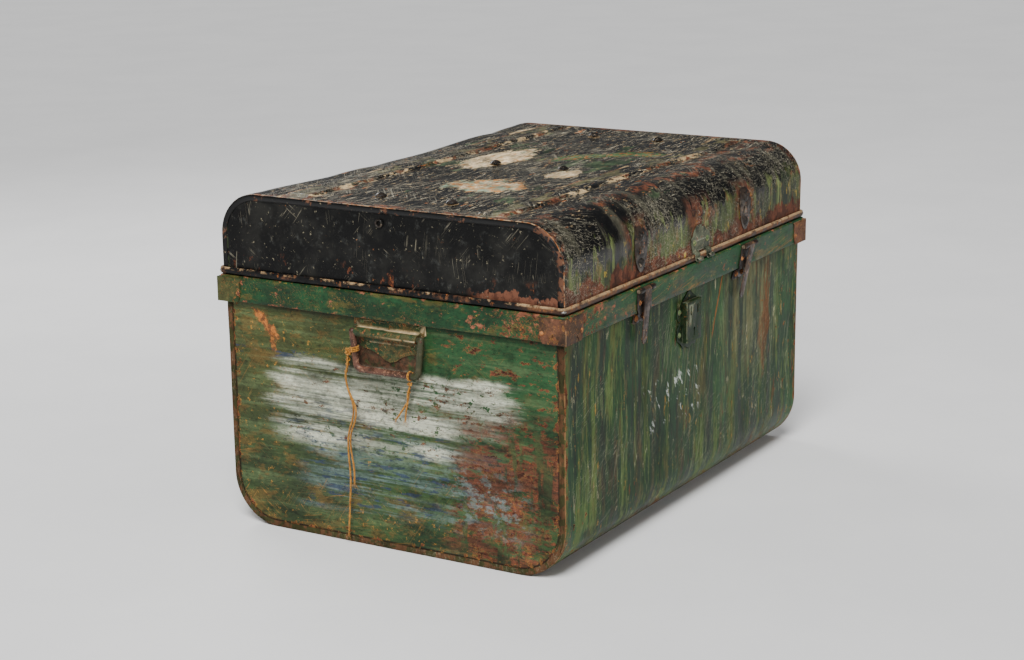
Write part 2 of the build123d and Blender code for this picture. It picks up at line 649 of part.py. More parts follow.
def lid_wrap():
    """Front, top and back in one sheet, with two ribs and rolled lower edges."""
    far = LID_X - SEAM_THICKNESS
    inner_radius = LID_CORNER_RADIUS - SHEET
    outer = tub(LID_Y, LID_BOTTOM_Z, LID_TOP_Z, LID_CORNER_RADIUS, -far, far, True)
    inner = tub(LID_Y - SHEET, LID_BOTTOM_Z - 1, LID_TOP_Z - SHEET, inner_radius, -far, far, True)
    length = LID_LENGTH - 2 * (SEAM_WIDTH + RIB_END_GAP)
    for side in (-1, 1):
        place = Pos(0, side * RIB_Y, 0)
        outer += place * rib(LID_TOP_Z - 0.01, RIB_WIDTH, RIB_HEIGHT, length)
        inner += place * rib(LID_TOP_Z - SHEET - 0.01, RIB_WIDTH - 1, RIB_HEIGHT, length - 1)
    shell = outer - inner
    for y0, y1 in ((-LID_Y - 20, -LID_Y), (LID_Y, LID_Y + 20)):
        shell += bead(-far, far, y0, y1)
    shell -= wire_loop(WIRE_RADIUS + WIRE_CLEARANCE)
    rivets = catch_rivets(LEFT) + catch_rivets(RIGHT) + centre_hasp_rivets() + lid_studs()
    return drill(shell, rivets + hinge_lid_rivets())


def lid_end(sx):
    """End cap: a panel inside the wrap, a seam band over the wrap's edge and its stretch of rolled rim."""
    outside = LID_X - SEAM_THICKNESS
    x0, x1 = sorted((sx * outside, sx * (outside - SHEET)))
    cap = tub(LID_Y - SHEET, LID_BOTTOM_Z, LID_TOP_Z - SHEET, LID_CORNER_RADIUS - SHEET, x0, x1, True)
    x0, x1 = sorted((sx * LID_X, sx * outside))
    band = tub(LID_Y, LID_BOTTOM_Z, LID_TOP_Z, LID_CORNER_RADIUS, x0, x1, True)
    band -= tub(LID_Y - SEAM_WIDTH, LID_BOTTOM_Z + BEAD_HEIGHT, LID_TOP_Z - SEAM_WIDTH,
                LID_CORNER_RADIUS - SEAM_WIDTH, x0, x1, True)
    lower = sorted((sx * outside, sx * (LID_X + 20)))
    roll = bead(lower[0], lower[1], -LID_Y - 20, LID_Y + 20)
    return cap + band + roll - wire_loop(WIRE_RADIUS + WIRE_CLEARANCE)


def lid_eyelet():
    """Small ring set in the left end of the lid."""
    face = -(LID_X - SEAM_THICKNESS)
    ring = Torus(5.0, 1.3)
    placed = Plane(origin=(face - 1.3, 7.0, 470.0), z_dir=(-1, 0, 0)) * ring
    return placed


# Hinges at the back

def hinge_segments():
    """Five knuckles along the hinge, as (start, end) measured from its middle."""
    pitch = HINGE_LENGTH / 5
    starts = [-HINGE_LENGTH / 2 + i * pitch for i in range(5)]
    return [(s + BODY_GAP / 2, s + pitch - BODY_GAP / 2) for s in starts]


def hinge_leaf(sx, on_lid):
    middle = sx * HINGE_X
    half = HINGE_LENGTH / 2
    inner = COLLAR_Y
    if on_lid:
        profile = [(inner, HINGE_AXIS_Z), (inner, 386.6), (LID_Y, 390.2), (LID_Y, 424),
                   (LID_Y + PLATE, 424), (LID_Y + PLATE, 391), (inner + PLATE, 387.4),
                   (inner + PLATE, HINGE_AXIS_Z)]
    else:
        profile = [(inner, 339), (inner, HINGE_AXIS_Z), (inner + PLATE, HINGE_AXIS_Z), (inner + PLATE, 339)]
    leaf = bent_strip(profile, middle - half, middle + half)
    own = 1 if on_lid else 0
    for i, (x0, x1) in enumerate(hinge_segments()):
        low = (middle + x0, HINGE_AXIS_Y, HINGE_AXIS_Z)
        high = (middle + x1, HINGE_AXIS_Y, HINGE_AXIS_Z)
        if i % 2 == own:
            leaf += rod(HINGE_RADIUS, low, high)
        else:
            low = (low[0] - BODY_GAP, low[1], low[2])
            high = (high[0] + BODY_GAP, high[1], high[2])
            leaf -= rod(HINGE_RADIUS + BODY_GAP, low, high)
    bore = HINGE_PIN_RADIUS + (RUNNING_FIT if on_lid else 0.0)
    far = half + 2
    leaf -= rod(bore, *[(middle + side * far, HINGE_AXIS_Y, HINGE_AXIS_Z) for side in (-1, 1)])
    return drill(leaf, hinge_lid_rivets() if on_lid else hinge_body_rivets())


def hinge_pin(sx):
    middle = sx * HINGE_X
    half = HINGE_LENGTH / 2
    ends = [(middle + side * half, HINGE_AXIS_Y, HINGE_AXIS_Z) for side in (-1, 1)]
    pin = rod(HINGE_PIN_RADIUS, *ends)
    for side, end in zip((-1, 1), ends):
        pin += Plane(origin=end, z_dir=(side, 0, 0)) * dome(3.6, 1.8)
    return pin


# Twine on the left handle

KNOT_ARM = (-396.5, 58.1, 284.0)
KNOT_ARM_RADIUS = 4.6
KNOT_SLEEVE_RADIUS = 7.6
KNOT_SLEEVE_HEIGHT = 8.0
KNOT_SLACK = 0.7
LOOP_SLACK = 0.3
KNOT_BAR = (-393.1, -41.5, 251.0)
KNOT_BAR_RADIUS = 3.9

# Each tail of twine: its bends from the knot down to its frayed end.
LONG_TAIL = [(-394.6, 59.4, 279.4), (-393.6, 61.2, 266.0), (-392.4, 67.8, 250.0), (-391.5, 65.0, 229.0),
             (-390.5, 55.5, 207.0), (-390.0, 58.5, 186.0), (-390.0, 67.5, 164.0), (-390.5, 68.0, 134.0),
             (-390.0, 65.0, 104.0), (-389.5, 67.0, 74.0), (-390.0, 69.5, 43.0), (-389.6, 71.6, 13.5)]
SHORT_TAIL = [(-398.2, 58.5, 279.2), (-397.8, 59.3, 266.5), (-396.2, 65.3, 251.0), (-395.3, 61.5, 230.0),
              (-394.0, 49.0, 205.5), (-393.6, 51.5, 186.0), (-393.6, 62.0, 164.0), (-393.8, 60.5, 137.0),
              (-393.5, 55.5, 114.0), (-393.3, 56.8, 94.0)]
FORK_INNER = [(-391.8, -41.0, 246.8), (-391.3, -37.5, 238.0), (-392.0, -37.8, 226.5),
              (-391.5, -29.5, 215.5), (-391.0, -22.5, 205.5), (-390.5, -15.8, 196.8)]
FORK_OUTER = [(-394.7, -42.0, 246.9), (-395.2, -38.0, 237.5), (-395.4, -39.0, 225.0),
              (-394.6, -34.5, 212.0), (-394.0, -33.2, 198.5)]


def route_radii(points):
    """Largest tangent arc at each bend that its two runs allow."""
    radii = []
    for before, here, after in zip(points, points[1:], points[2:]):
        run_in = Vector(*here) - Vector(*before)
        run_out = Vector(*after) - Vector(*here)
        turn = math.radians(run_in.get_angle(run_out))
        radii.append(0.45 * min(run_in.length, run_out.length) / math.tan(turn / 2))
    return radii


def twine(name, points):
    """Limp twine along straight runs joined by tangent arcs."""
    radii = route_radii(points)
    path = FilletPolyline(*points, radius=radii)
    tube = sweep(Plane(origin=path @ 0, z_dir=path % 0) * Circle(TWINE_RADIUS), path)
    expected = math.pi * TWINE_RADIUS ** 2 * path.length
    print(name, "length", round(path.length, 1), "radii", [round(r, 1) for r in radii],
          "volume ratio", round(tube.volume / expected, 4))
    return tube


def knot_on_arm():
    """Sleeve of turns round the handle's arm with a round knot below it."""
    sleeve = Cylinder(KNOT_SLEEVE_RADIUS, KNOT_SLEEVE_HEIGHT)
    sleeve = fillet(sleeve.edges().filter_by(GeomType.CIRCLE), TWINE_RADIUS)
    sleeve -= Cylinder(BAIL_RADIUS + KNOT_SLACK, KNOT_SLEEVE_HEIGHT + 1)
    z = KNOT_ARM[2] + 6.2
    slope = (BAIL_TOP_HALF - BAIL_BOTTOM_HALF) / (HANDLE_PIVOT_Z - BAIL_BAR_Z)
    y = HANDLE_Y + BAIL_BOTTOM_HALF + slope * (z - BAIL_BAR_Z)
    return Pos(-HANDLE_PIVOT_X, y, z) * sleeve + Pos(KNOT_ARM) * Sphere(KNOT_ARM_RADIUS)


def knot_on_bar():
    """Loop of twine round the handle's bar, tied below it."""
    ring = BAIL_RADIUS + TWINE_RADIUS + LOOP_SLACK
    centre = (-HANDLE_PIVOT_X, KNOT_BAR[1], BAIL_BAR_Z)
    loop = Plane(origin=centre, z_dir=(0, 1, 0)) * Torus(ring, TWINE_RADIUS)
    return loop + Pos(KNOT_BAR) * Sphere(KNOT_BAR_RADIUS)


# Build every node

nodes["body_wrap"] = body_wrap()
nodes["collar_front"] = collar_long(FRONT)
nodes["collar_back"] = collar_long(BACK)
nodes["bracket_rivets"] = rivet_group(bracket_rivets())
for side, sx in SIDES.items():
    nodes["body_end_" + side] = body_end(sx)
    nodes["collar_" + side] = collar_end(sx)
    nodes["corner_bracket_front_" + side] = corner_bracket(sx, FRONT)
    nodes["corner_bracket_back_" + side] = corner_bracket(sx, BACK)
    nodes["handle_plate_" + side] = handle_plate(sx)
    nodes["handle_rivets_" + side] = rivet_group(handle_rivets(sx))
    nodes["bail_" + side] = bail(sx)
    nodes["hasp_base_" + side] = hasp_base(sx)
    nodes["hasp_pin_" + side] = hasp_pin(sx)
    nodes["hasp_rivets_" + side] = rivet_group(hasp_wall_rivets(sx) + hasp_collar_rivets(sx))
    nodes["tongue_" + side] = tongue(sx)
    nodes["catch_plate_" + side] = catch_plate(sx)
    nodes["catch_rivets_" + side] = rivet_group(catch_rivets(sx))
    nodes["lid_end_" + side] = lid_end(sx)
    nodes["hinge_leaf_body_" + side] = hinge_leaf(sx, False)
    nodes["hinge_leaf_lid_" + side] = hinge_leaf(sx, True)
    nodes["hinge_pin_" + side] = hinge_pin(sx)
nodes["lock_plate"] = lock_plate()
nodes["lock_case"] = lock_case()
nodes["lock_bolt"] = lock_bolt()
nodes["lock_studs"] = lock_studs()
nodes["lock_spring"] = lock_spring()
nodes["lock_rivets"] = rivet_group(lock_rivets())
nodes["centre_hasp_plate"] = centre_hasp_plate()
nodes["centre_hasp_rivets"] = rivet_group(centre_hasp_rivets())
nodes["lid_wrap"] = lid_wrap()
nodes["lid_rim_wire"] = wire_loop(WIRE_RADIUS)
nodes["lid_studs"] = rivet_group(lid_studs())
nodes["lid_eyelet"] = lid_eyelet()
nodes["hinge_rivets_body"] = rivet_group(hinge_body_rivets())
nodes["hinge_rivets_lid"] = rivet_group(hinge_lid_rivets())
nodes["twine_knot_arm"] = knot_on_arm()
nodes["twine_knot_bar"] = knot_on_bar()
nodes["twine_long"] = twine("twine_long", LONG_TAIL)
nodes["twine_short"] = twine("twine_short", SHORT_TAIL)
nodes["twine_fork_inner"] = twine("twine_fork_inner", FORK_INNER)
nodes["twine_fork_outer"] = twine("twine_fork_outer", FORK_OUTER)

for name, shape in nodes.items():
    export_step(shape, os.path.join("parts", name + ".step"))
print(len(nodes), "nodes written")
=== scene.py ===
import json
import math
import random

import bmesh
import bpy
from mathutils import Matrix, Vector, noise

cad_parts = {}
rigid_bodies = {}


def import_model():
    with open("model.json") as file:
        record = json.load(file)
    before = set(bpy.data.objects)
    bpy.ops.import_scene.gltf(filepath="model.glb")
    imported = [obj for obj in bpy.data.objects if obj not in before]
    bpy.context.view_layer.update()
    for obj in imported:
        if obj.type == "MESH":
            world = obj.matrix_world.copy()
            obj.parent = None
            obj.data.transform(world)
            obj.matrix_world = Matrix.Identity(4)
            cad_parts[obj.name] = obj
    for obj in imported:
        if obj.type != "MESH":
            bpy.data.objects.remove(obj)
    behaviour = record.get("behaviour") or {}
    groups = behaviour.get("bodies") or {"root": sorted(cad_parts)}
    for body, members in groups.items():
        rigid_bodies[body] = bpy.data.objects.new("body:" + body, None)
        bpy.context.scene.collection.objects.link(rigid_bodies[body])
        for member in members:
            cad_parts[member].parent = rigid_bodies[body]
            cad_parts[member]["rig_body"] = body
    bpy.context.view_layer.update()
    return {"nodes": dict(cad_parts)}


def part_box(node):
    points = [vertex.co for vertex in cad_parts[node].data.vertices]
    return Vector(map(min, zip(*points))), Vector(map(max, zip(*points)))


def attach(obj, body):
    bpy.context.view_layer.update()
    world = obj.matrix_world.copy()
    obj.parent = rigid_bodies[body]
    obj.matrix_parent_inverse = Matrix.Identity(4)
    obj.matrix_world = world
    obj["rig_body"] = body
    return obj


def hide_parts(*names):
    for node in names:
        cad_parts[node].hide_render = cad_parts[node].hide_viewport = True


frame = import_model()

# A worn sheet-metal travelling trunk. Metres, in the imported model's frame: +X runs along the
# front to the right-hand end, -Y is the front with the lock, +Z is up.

NODES = frame["nodes"]

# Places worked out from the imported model, and sizes of its sheet metal
MM = 0.001
SHEET = 0.8 * MM
RIB_HEIGHT = 3.5 * MM
RIB_WIDTH = 47 * MM
RIB_Y = 158 * MM
BEAD_PROUD = 4.5 * MM
BEAD_HEIGHT = 10 * MM
BODY_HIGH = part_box("body_end_right")[1]
LID_LOW, LID_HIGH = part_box("lid_wrap")
BODY_X = BODY_HIGH.x
BODY_Y = BODY_HIGH.y
BODY_RIM = BODY_HIGH.z
BODY_RADIUS = 75 * MM
LID_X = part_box("lid_end_right")[1].x - BEAD_PROUD
LID_Y = LID_HIGH.y - BEAD_PROUD
LID_BOTTOM = LID_LOW.z
LID_TOP = LID_HIGH.z - RIB_HEIGHT
LID_RADIUS = 61 * MM
COLLAR_LOW, COLLAR_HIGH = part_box("collar_front")
COLLAR_X = COLLAR_HIGH.x
COLLAR_BOTTOM = COLLAR_LOW.z
COLLAR_TOP = COLLAR_HIGH.z
SEAM = 9 * MM
FOLD_LINE = 0.0034  # from the end of a wrapped sheet to where its paint gives way to the fold
EDGE_WEAR = 0.35 * MM
LEFT, RIGHT = -1, 1


# ---------------------------------------------------------------- camera, lights and floor

CAMERA_PLACE = (-2.70885, -1.60108, 1.01985)
CAMERA_YAW = 58.935
CAMERA_PITCH = 13.979
CAMERA_ROLL = -0.736
CAMERA_LENS = 74.1
SUN_TOWARD = (0.50, 0.22, -0.84)
SUN_STRENGTH = 3.3
SUN_SOFTNESS = 25
SKY_COLOUR = (0.80, 0.82, 0.85, 1)
SKY_STRENGTH = 0.15
FLOOR_REACH = 30.0

# Name, place, what it is aimed at, size and power in watts
AREA_LIGHTS = (
    ("key", (-2.4, -0.7, 2.0), (-0.3, 0, 0.3), (1.0, 1.0), 40),
    ("fill", (0.6, -3.0, 1.5), (0.1, 0, 0.25), (1.6, 1.1), 20),
    ("back", (0.9, 2.2, 1.9), (0.0, 0, 0.45), (1.6, 0.6), 34),
)


def add_camera():
    """The photo's viewpoint."""
    data = bpy.data.cameras.new("camera")
    data.lens = CAMERA_LENS
    data.sensor_width = 36
    data.clip_end = 50
    camera = bpy.data.objects.new("camera", data)
    yaw, pitch, roll = (math.radians(a) for a in (CAMERA_YAW, CAMERA_PITCH, CAMERA_ROLL))
    forward = Vector((math.sin(yaw) * math.cos(pitch), math.cos(yaw) * math.cos(pitch), -math.sin(pitch)))
    turn = forward.to_track_quat("-Z", "Y").to_matrix() @ Matrix.Rotation(roll, 3, "Z")
    camera.matrix_world = Matrix.Translation(CAMERA_PLACE) @ turn.to_4x4()
    bpy.context.scene.collection.objects.link(camera)
    bpy.context.scene.camera = camera


def add_light(name, place, aim, size, power):
    data = bpy.data.lights.new(name, "AREA")
    data.shape = "RECTANGLE"
    data.size, data.size_y = size
    data.energy = power
    light = bpy.data.objects.new(name, data)
    light.location = place
    light.rotation_mode = "QUATERNION"
    light.rotation_quaternion = (Vector(aim) - Vector(place)).to_track_quat("-Z", "Y")
    bpy.context.scene.collection.objects.link(light)


def add_sun(toward, strength, softness):
    data = bpy.data.lights.new("sun", "SUN")
    data.energy = strength
    data.angle = math.radians(softness)
    light = bpy.data.objects.new("sun", data)
    light.rotation_mode = "QUATERNION"
    light.rotation_quaternion = Vector(toward).to_track_quat("-Z", "Y")
    bpy.context.scene.collection.objects.link(light)


def add_studio():
    add_sun(SUN_TOWARD, SUN_STRENGTH, SUN_SOFTNESS)
    for light in AREA_LIGHTS:
        add_light(*light)
    world = bpy.data.worlds.new("world")
    world.use_nodes = True
    background = world.node_tree.nodes["Background"]
    background.inputs["Color"].default_value = SKY_COLOUR
    background.inputs["Strength"].default_value = SKY_STRENGTH
    bpy.context.scene.world = world


# ---------------------------------------------------------------- node graph helpers

def is_socket(value):
    return isinstance(value, bpy.types.NodeSocket)


def noise_level(share):
    """The level that about that share of a noise lies above."""
    return 0.5 + (0.5 - share) * 0.42


class Graph:
    """One material's nodes, with short calls for the few kinds that the paints are made of."""

    def __init__(self, name, colour, roughness, metallic=0.0):
        self.material = bpy.data.materials.new(name)
        self.material.use_nodes = True
        self.tree = self.material.node_tree
        self.tree.nodes.clear()
        output = self.node("ShaderNodeOutputMaterial")
        self.shader = self.node("ShaderNodeBsdfPrincipled")
        self.tree.links.new(self.shader.outputs[0], output.inputs[0])
        self.place = self.node("ShaderNodeTexCoord").outputs["Object"]
        split = self.node("ShaderNodeSeparateXYZ")
        self.put(split.inputs[0], self.place)
        self.x, self.y, self.z = split.outputs
        self.colour = colour
        self.roughness = roughness
        self.metallic = metallic
        self.height = 0.0

    def node(self, kind, **settings):
        made = self.tree.nodes.new(kind)
        for key, value in settings.items():
            setattr(made, key, value)
        return made

    def put(self, socket, value):
        if is_socket(value):
            self.tree.links.new(value, socket)
        elif hasattr(value, "__len__") and len(value) == 3 and socket.type == "RGBA":
            socket.default_value = (*value, 1.0)
        else:
            socket.default_value = value

    def math(self, operation, a, b=0.0, clamp=False):
        made = self.node("ShaderNodeMath", operation=operation, use_clamp=clamp)
        self.put(made.inputs[0], a)
        self.put(made.inputs[1], b)
        return made.outputs[0]

    def times(self, *factors):
        total = factors[0]
        for factor in factors[1:]:
            total = self.math("MULTIPLY", total, factor)
        return total

    def plus(self, a, b):
        return self.math("ADD", a, b)

    def minus(self, a, b):
        return self.math("SUBTRACT", a, b)

    def amount(self, value):
        """The value without its sign."""
        return self.math("ABSOLUTE", value)

    def either(self, *masks):
        total = masks[0]
        for mask in masks[1:]:
            total = self.math("MAXIMUM", total, mask)
        return total

    def less(self, mask, taken):
        """mask where taken is 0, fading to none where taken is 1."""
        return self.times(mask, self.math("SUBTRACT", 1.0, taken, clamp=True))

    def ramp(self, value, low, high, to_low=0.0, to_high=1.0):
        """0 below low and 1 above high, or the other way round if high is the smaller."""
        made = self.node("ShaderNodeMapRange", interpolation_type="SMOOTHSTEP", clamp=True)
        if low > high:
            low, high, to_low, to_high = high, low, to_high, to_low
        for socket, number in zip(made.inputs[:5], (value, low, high, to_low, to_high)):
            self.put(socket, number)
        return made.outputs[0]

    def mapped(self, stretch=(1, 1, 1), turn=(0, 0, 0), shift=(0, 0, 0)):
        """The place turned first and then stretched, which one Mapping node does in the other order."""
        place = self.place
        if any(turn):
            turned = self.node("ShaderNodeMapping")
            self.put(turned.inputs["Vector"], place)
            turned.inputs["Rotation"].default_value = [math.radians(a) for a in turn]
            place = turned.outputs[0]
        made = self.node("ShaderNodeMapping")
        self.put(made.inputs["Vector"], place)
        made.inputs["Location"].default_value = shift
        made.inputs["Scale"].default_value = stretch
        return made.outputs[0]

    def noise(self, scale, detail=4.0, rough=0.6, stretch=(1, 1, 1), turn=(0, 0, 0), seed=0.0):
        made = self.node("ShaderNodeTexNoise")
        self.put(made.inputs["Vector"], self.mapped(stretch, turn, (seed, seed * 0.7, seed * 1.3)))
        made.inputs["Scale"].default_value = scale
        made.inputs["Detail"].default_value = detail
        made.inputs["Roughness"].default_value = rough
        return made.outputs[0]

    def blot(self, low, high, *noise, **named):
        """Noise cut to a mask: 0 where it is below low, 1 above high. The rest is as for noise."""
        return self.ramp(self.noise(*noise, **named), low, high)

    def mix(self, mask, a, b):
        made = self.node("ShaderNodeMix", data_type="RGBA")
        colour_sockets = [s for s in made.inputs if s.type == "RGBA"]
        self.put(made.inputs[0], mask)
        self.put(colour_sockets[0], a)
        self.put(colour_sockets[1], b)
        return [s for s in made.outputs if s.type == "RGBA"][0]

    def blend(self, mask, a, b):
        """Number a where mask is 0, b where it is 1."""
        made = self.node("ShaderNodeMix", data_type="FLOAT")
        self.put(made.inputs[0], mask)
        self.put(made.inputs[2], a)
        self.put(made.inputs[3], b)
        return made.outputs[0]

    def layer(self, mask, colour, roughness=None, height=0.0):
        """Cover what is there with another coat, in millimetres of height."""
        self.colour = self.mix(mask, self.colour, colour)
        if roughness is not None:
            self.roughness = self.blend(mask, self.roughness, roughness)
        if height:
            self.height = self.plus(self.height, self.times(mask, height))

    def bumps(self, height, *noise, **named):
        """Fine unevenness of the surface, in millimetres. The rest is as for noise."""
        self.height = self.plus(self.height, self.times(self.noise(*noise, **named), height))

    def shade(self, mask, tone):
        """Multiply what is there by a tone, a number, where the mask is 1."""
        made = self.node("ShaderNodeMix", data_type="RGBA", blend_type="MULTIPLY")
        colour_sockets = [s for s in made.inputs if s.type == "RGBA"]
        self.put(made.inputs[0], mask)
        self.put(colour_sockets[0], self.colour)
        self.put(colour_sockets[1], (tone, tone, tone))
        self.colour = [s for s in made.outputs if s.type == "RGBA"][0]

    def weathered(self, seed, dark=0.45, light=1.7, stretch=(1, 1, 1), fine=150, coarse=9):
        """Uneven tone at three scales, over everything laid so far."""
        cloud = self.noise(coarse, 5, 0.65, stretch, seed=seed)
        grain = self.noise(fine, 5, 0.75, stretch, seed=seed + 1)
        middle = self.noise(coarse * 4, 6, 0.72, stretch, seed=seed + 2)
        self.shade(self.ramp(cloud, 0.55, 0.36), dark + 0.2)
        self.shade(self.ramp(middle, 0.50, 0.34), dark)
        self.shade(self.ramp(middle, 0.54, 0.70), light)
        self.shade(self.ramp(grain, 0.48, 0.36), dark)
        self.shade(self.ramp(grain, 0.55, 0.68), light)

    def edges(self, low=0.57, high=0.68):
        """1 on the outer edges of small metalwork."""
        return self.ramp(self.node("ShaderNodeNewGeometry").outputs["Pointiness"], low, high)

    def near(self, axis_value, centre, half, soft):
        """1 within half of centre along one axis, fading out over soft."""
        away = self.amount(self.minus(axis_value, centre))
        return self.ramp(away, half + soft, half)

    def speck(self, scale, share, seed=0.0, stretch=(1, 1, 1)):
        """Ragged patches over about that share of the surface."""
        level = noise_level(share)
        return self.blot(level - 0.02, level + 0.02, scale, 5.0, 0.62, stretch, seed=seed)

    def scratches(self, turn, seed, fine=170.0, share=0.012, keep=0.5, patch=9.0):
        """Thin straight marks along one direction, broken up by a slower noise."""
        line = self.noise(1.0, 2.0, 0.5, (1.6, fine, fine), turn, seed)
        away = self.amount(self.minus(line, 0.5))
        thin = self.ramp(away, share, share * 0.3)
        where = self.blot(1 - keep, 1 - keep + 0.06, patch, 2.0, 0.5, seed=seed + 3.1)
        return self.times(thin, where)

    def finish(self, bump=0.4, specular=0.28, ior=1.42):
        """Joins everything to the shader. Heights are in millimetres."""
        shader = self.shader
        shader.inputs["Specular IOR Level"].default_value = specular
        shader.inputs["IOR"].default_value = ior
        self.put(shader.inputs["Base Color"], self.colour)
        self.put(shader.inputs["Roughness"], self.roughness)
        self.put(shader.inputs["Metallic"], self.metallic)
        if is_socket(self.height):
            made = self.node("ShaderNodeBump")
            made.inputs["Strength"].default_value = bump
            made.inputs["Distance"].default_value = MM
            self.put(made.inputs["Height"], self.height)
            self.put(shader.inputs["Normal"], made.outputs[0])
        return self.material


# ---------------------------------------------------------------- paints

BLACK = (0.0045, 0.0045, 0.0045)
SOOT = (0.017, 0.0165, 0.0145)
GREEN_DEEP = (0.013, 0.032, 0.012)
GREEN = (0.030, 0.066, 0.020)
GREEN_VIVID = (0.018, 0.068, 0.022)
OLIVE = (0.085, 0.075, 0.020)
GREEN_PALE = (0.110, 0.155, 0.065)
YELLOW = (0.38, 0.27, 0.035)
OCHRE = (0.27, 0.125, 0.028)
CREAM = (0.52, 0.37, 0.19)
CHALK = (0.62, 0.63, 0.49)
CHALK_BLUE = (0.150, 0.215, 0.205)
RUST_DARK = (0.030, 0.012, 0.008)
RUST = (0.075, 0.028, 0.016)
RUST_RED = (0.145, 0.048, 0.025)
RUST_ORANGE = (0.33, 0.105, 0.024)
STEEL = (0.17, 0.165, 0.155)


def rust_colour(g, seed=0.0):
    """Mottled rust, dark brown to orange."""
    base = g.mix(g.blot(0.38, 0.58, 70, 5, 0.7, seed=seed), RUST_DARK, RUST_RED)
    return g.mix(g.blot(0.55, 0.68, 190, 4, 0.7, seed=seed + 5), base, RUST_ORANGE)


def chip(g, scale, share, seed, rim, where=None, stretch=(1, 1, 1), rough=0.66):
    """Chips through the paint, with a broken rim of another colour round bare rust."""
    grain = g.noise(scale, 6.0, rough, stretch, seed=seed)
    if where is not None:
        grain = g.plus(grain, g.times(g.minus(where, 0.5), 0.26))
    level = noise_level(share)
    g.layer(g.ramp(grain, level - 0.012, level), rim, 0.6, -0.05)
    g.layer(g.ramp(grain, level + 0.006, level + 0.022), rust_colour(g, seed + 1), 0.82, -0.10)


def edge_depth(g, half, flat, radius):
    """How far a point of an end panel lies inside the panel's rounded outline."""
    across = g.minus(g.amount(g.y), half - radius)
    if flat > radius:
        up = g.minus(g.z, flat - radius)
    else:
        up = g.minus(radius, g.z)
    a = g.math("MAXIMUM", across, 0.0)
    b = g.math("MAXIMUM", up, 0.0)
    outside = g.math("SQRT", g.plus(g.times(a, a), g.times(b, b)))
    inside = g.math("MINIMUM", g.math("MAXIMUM", across, up), 0.0)
    return g.minus(radius, g.plus(outside, inside))


def ragged(g, value, amount, scale=22, seed=0.0, stretch=(1, 1, 1)):
    """A coordinate shifted about by noise, so that what is cut from it has a torn edge."""
    wander = g.minus(g.noise(scale, 5, 0.7, stretch, seed=seed), 0.5)
    return g.plus(value, g.times(wander, amount))


def dry_brush(g, seed, fine=230.0):
    """Level brush strokes along Y, fine bristle lines over broad ones."""
    bristle = g.noise(1.0, 4, 0.7, (20, 7, fine), seed=seed)
    broad = g.noise(1.0, 3, 0.6, (20, 4, 55), seed=seed + 1)
    return g.plus(g.times(bristle, 0.55), g.times(broad, 0.45)), broad


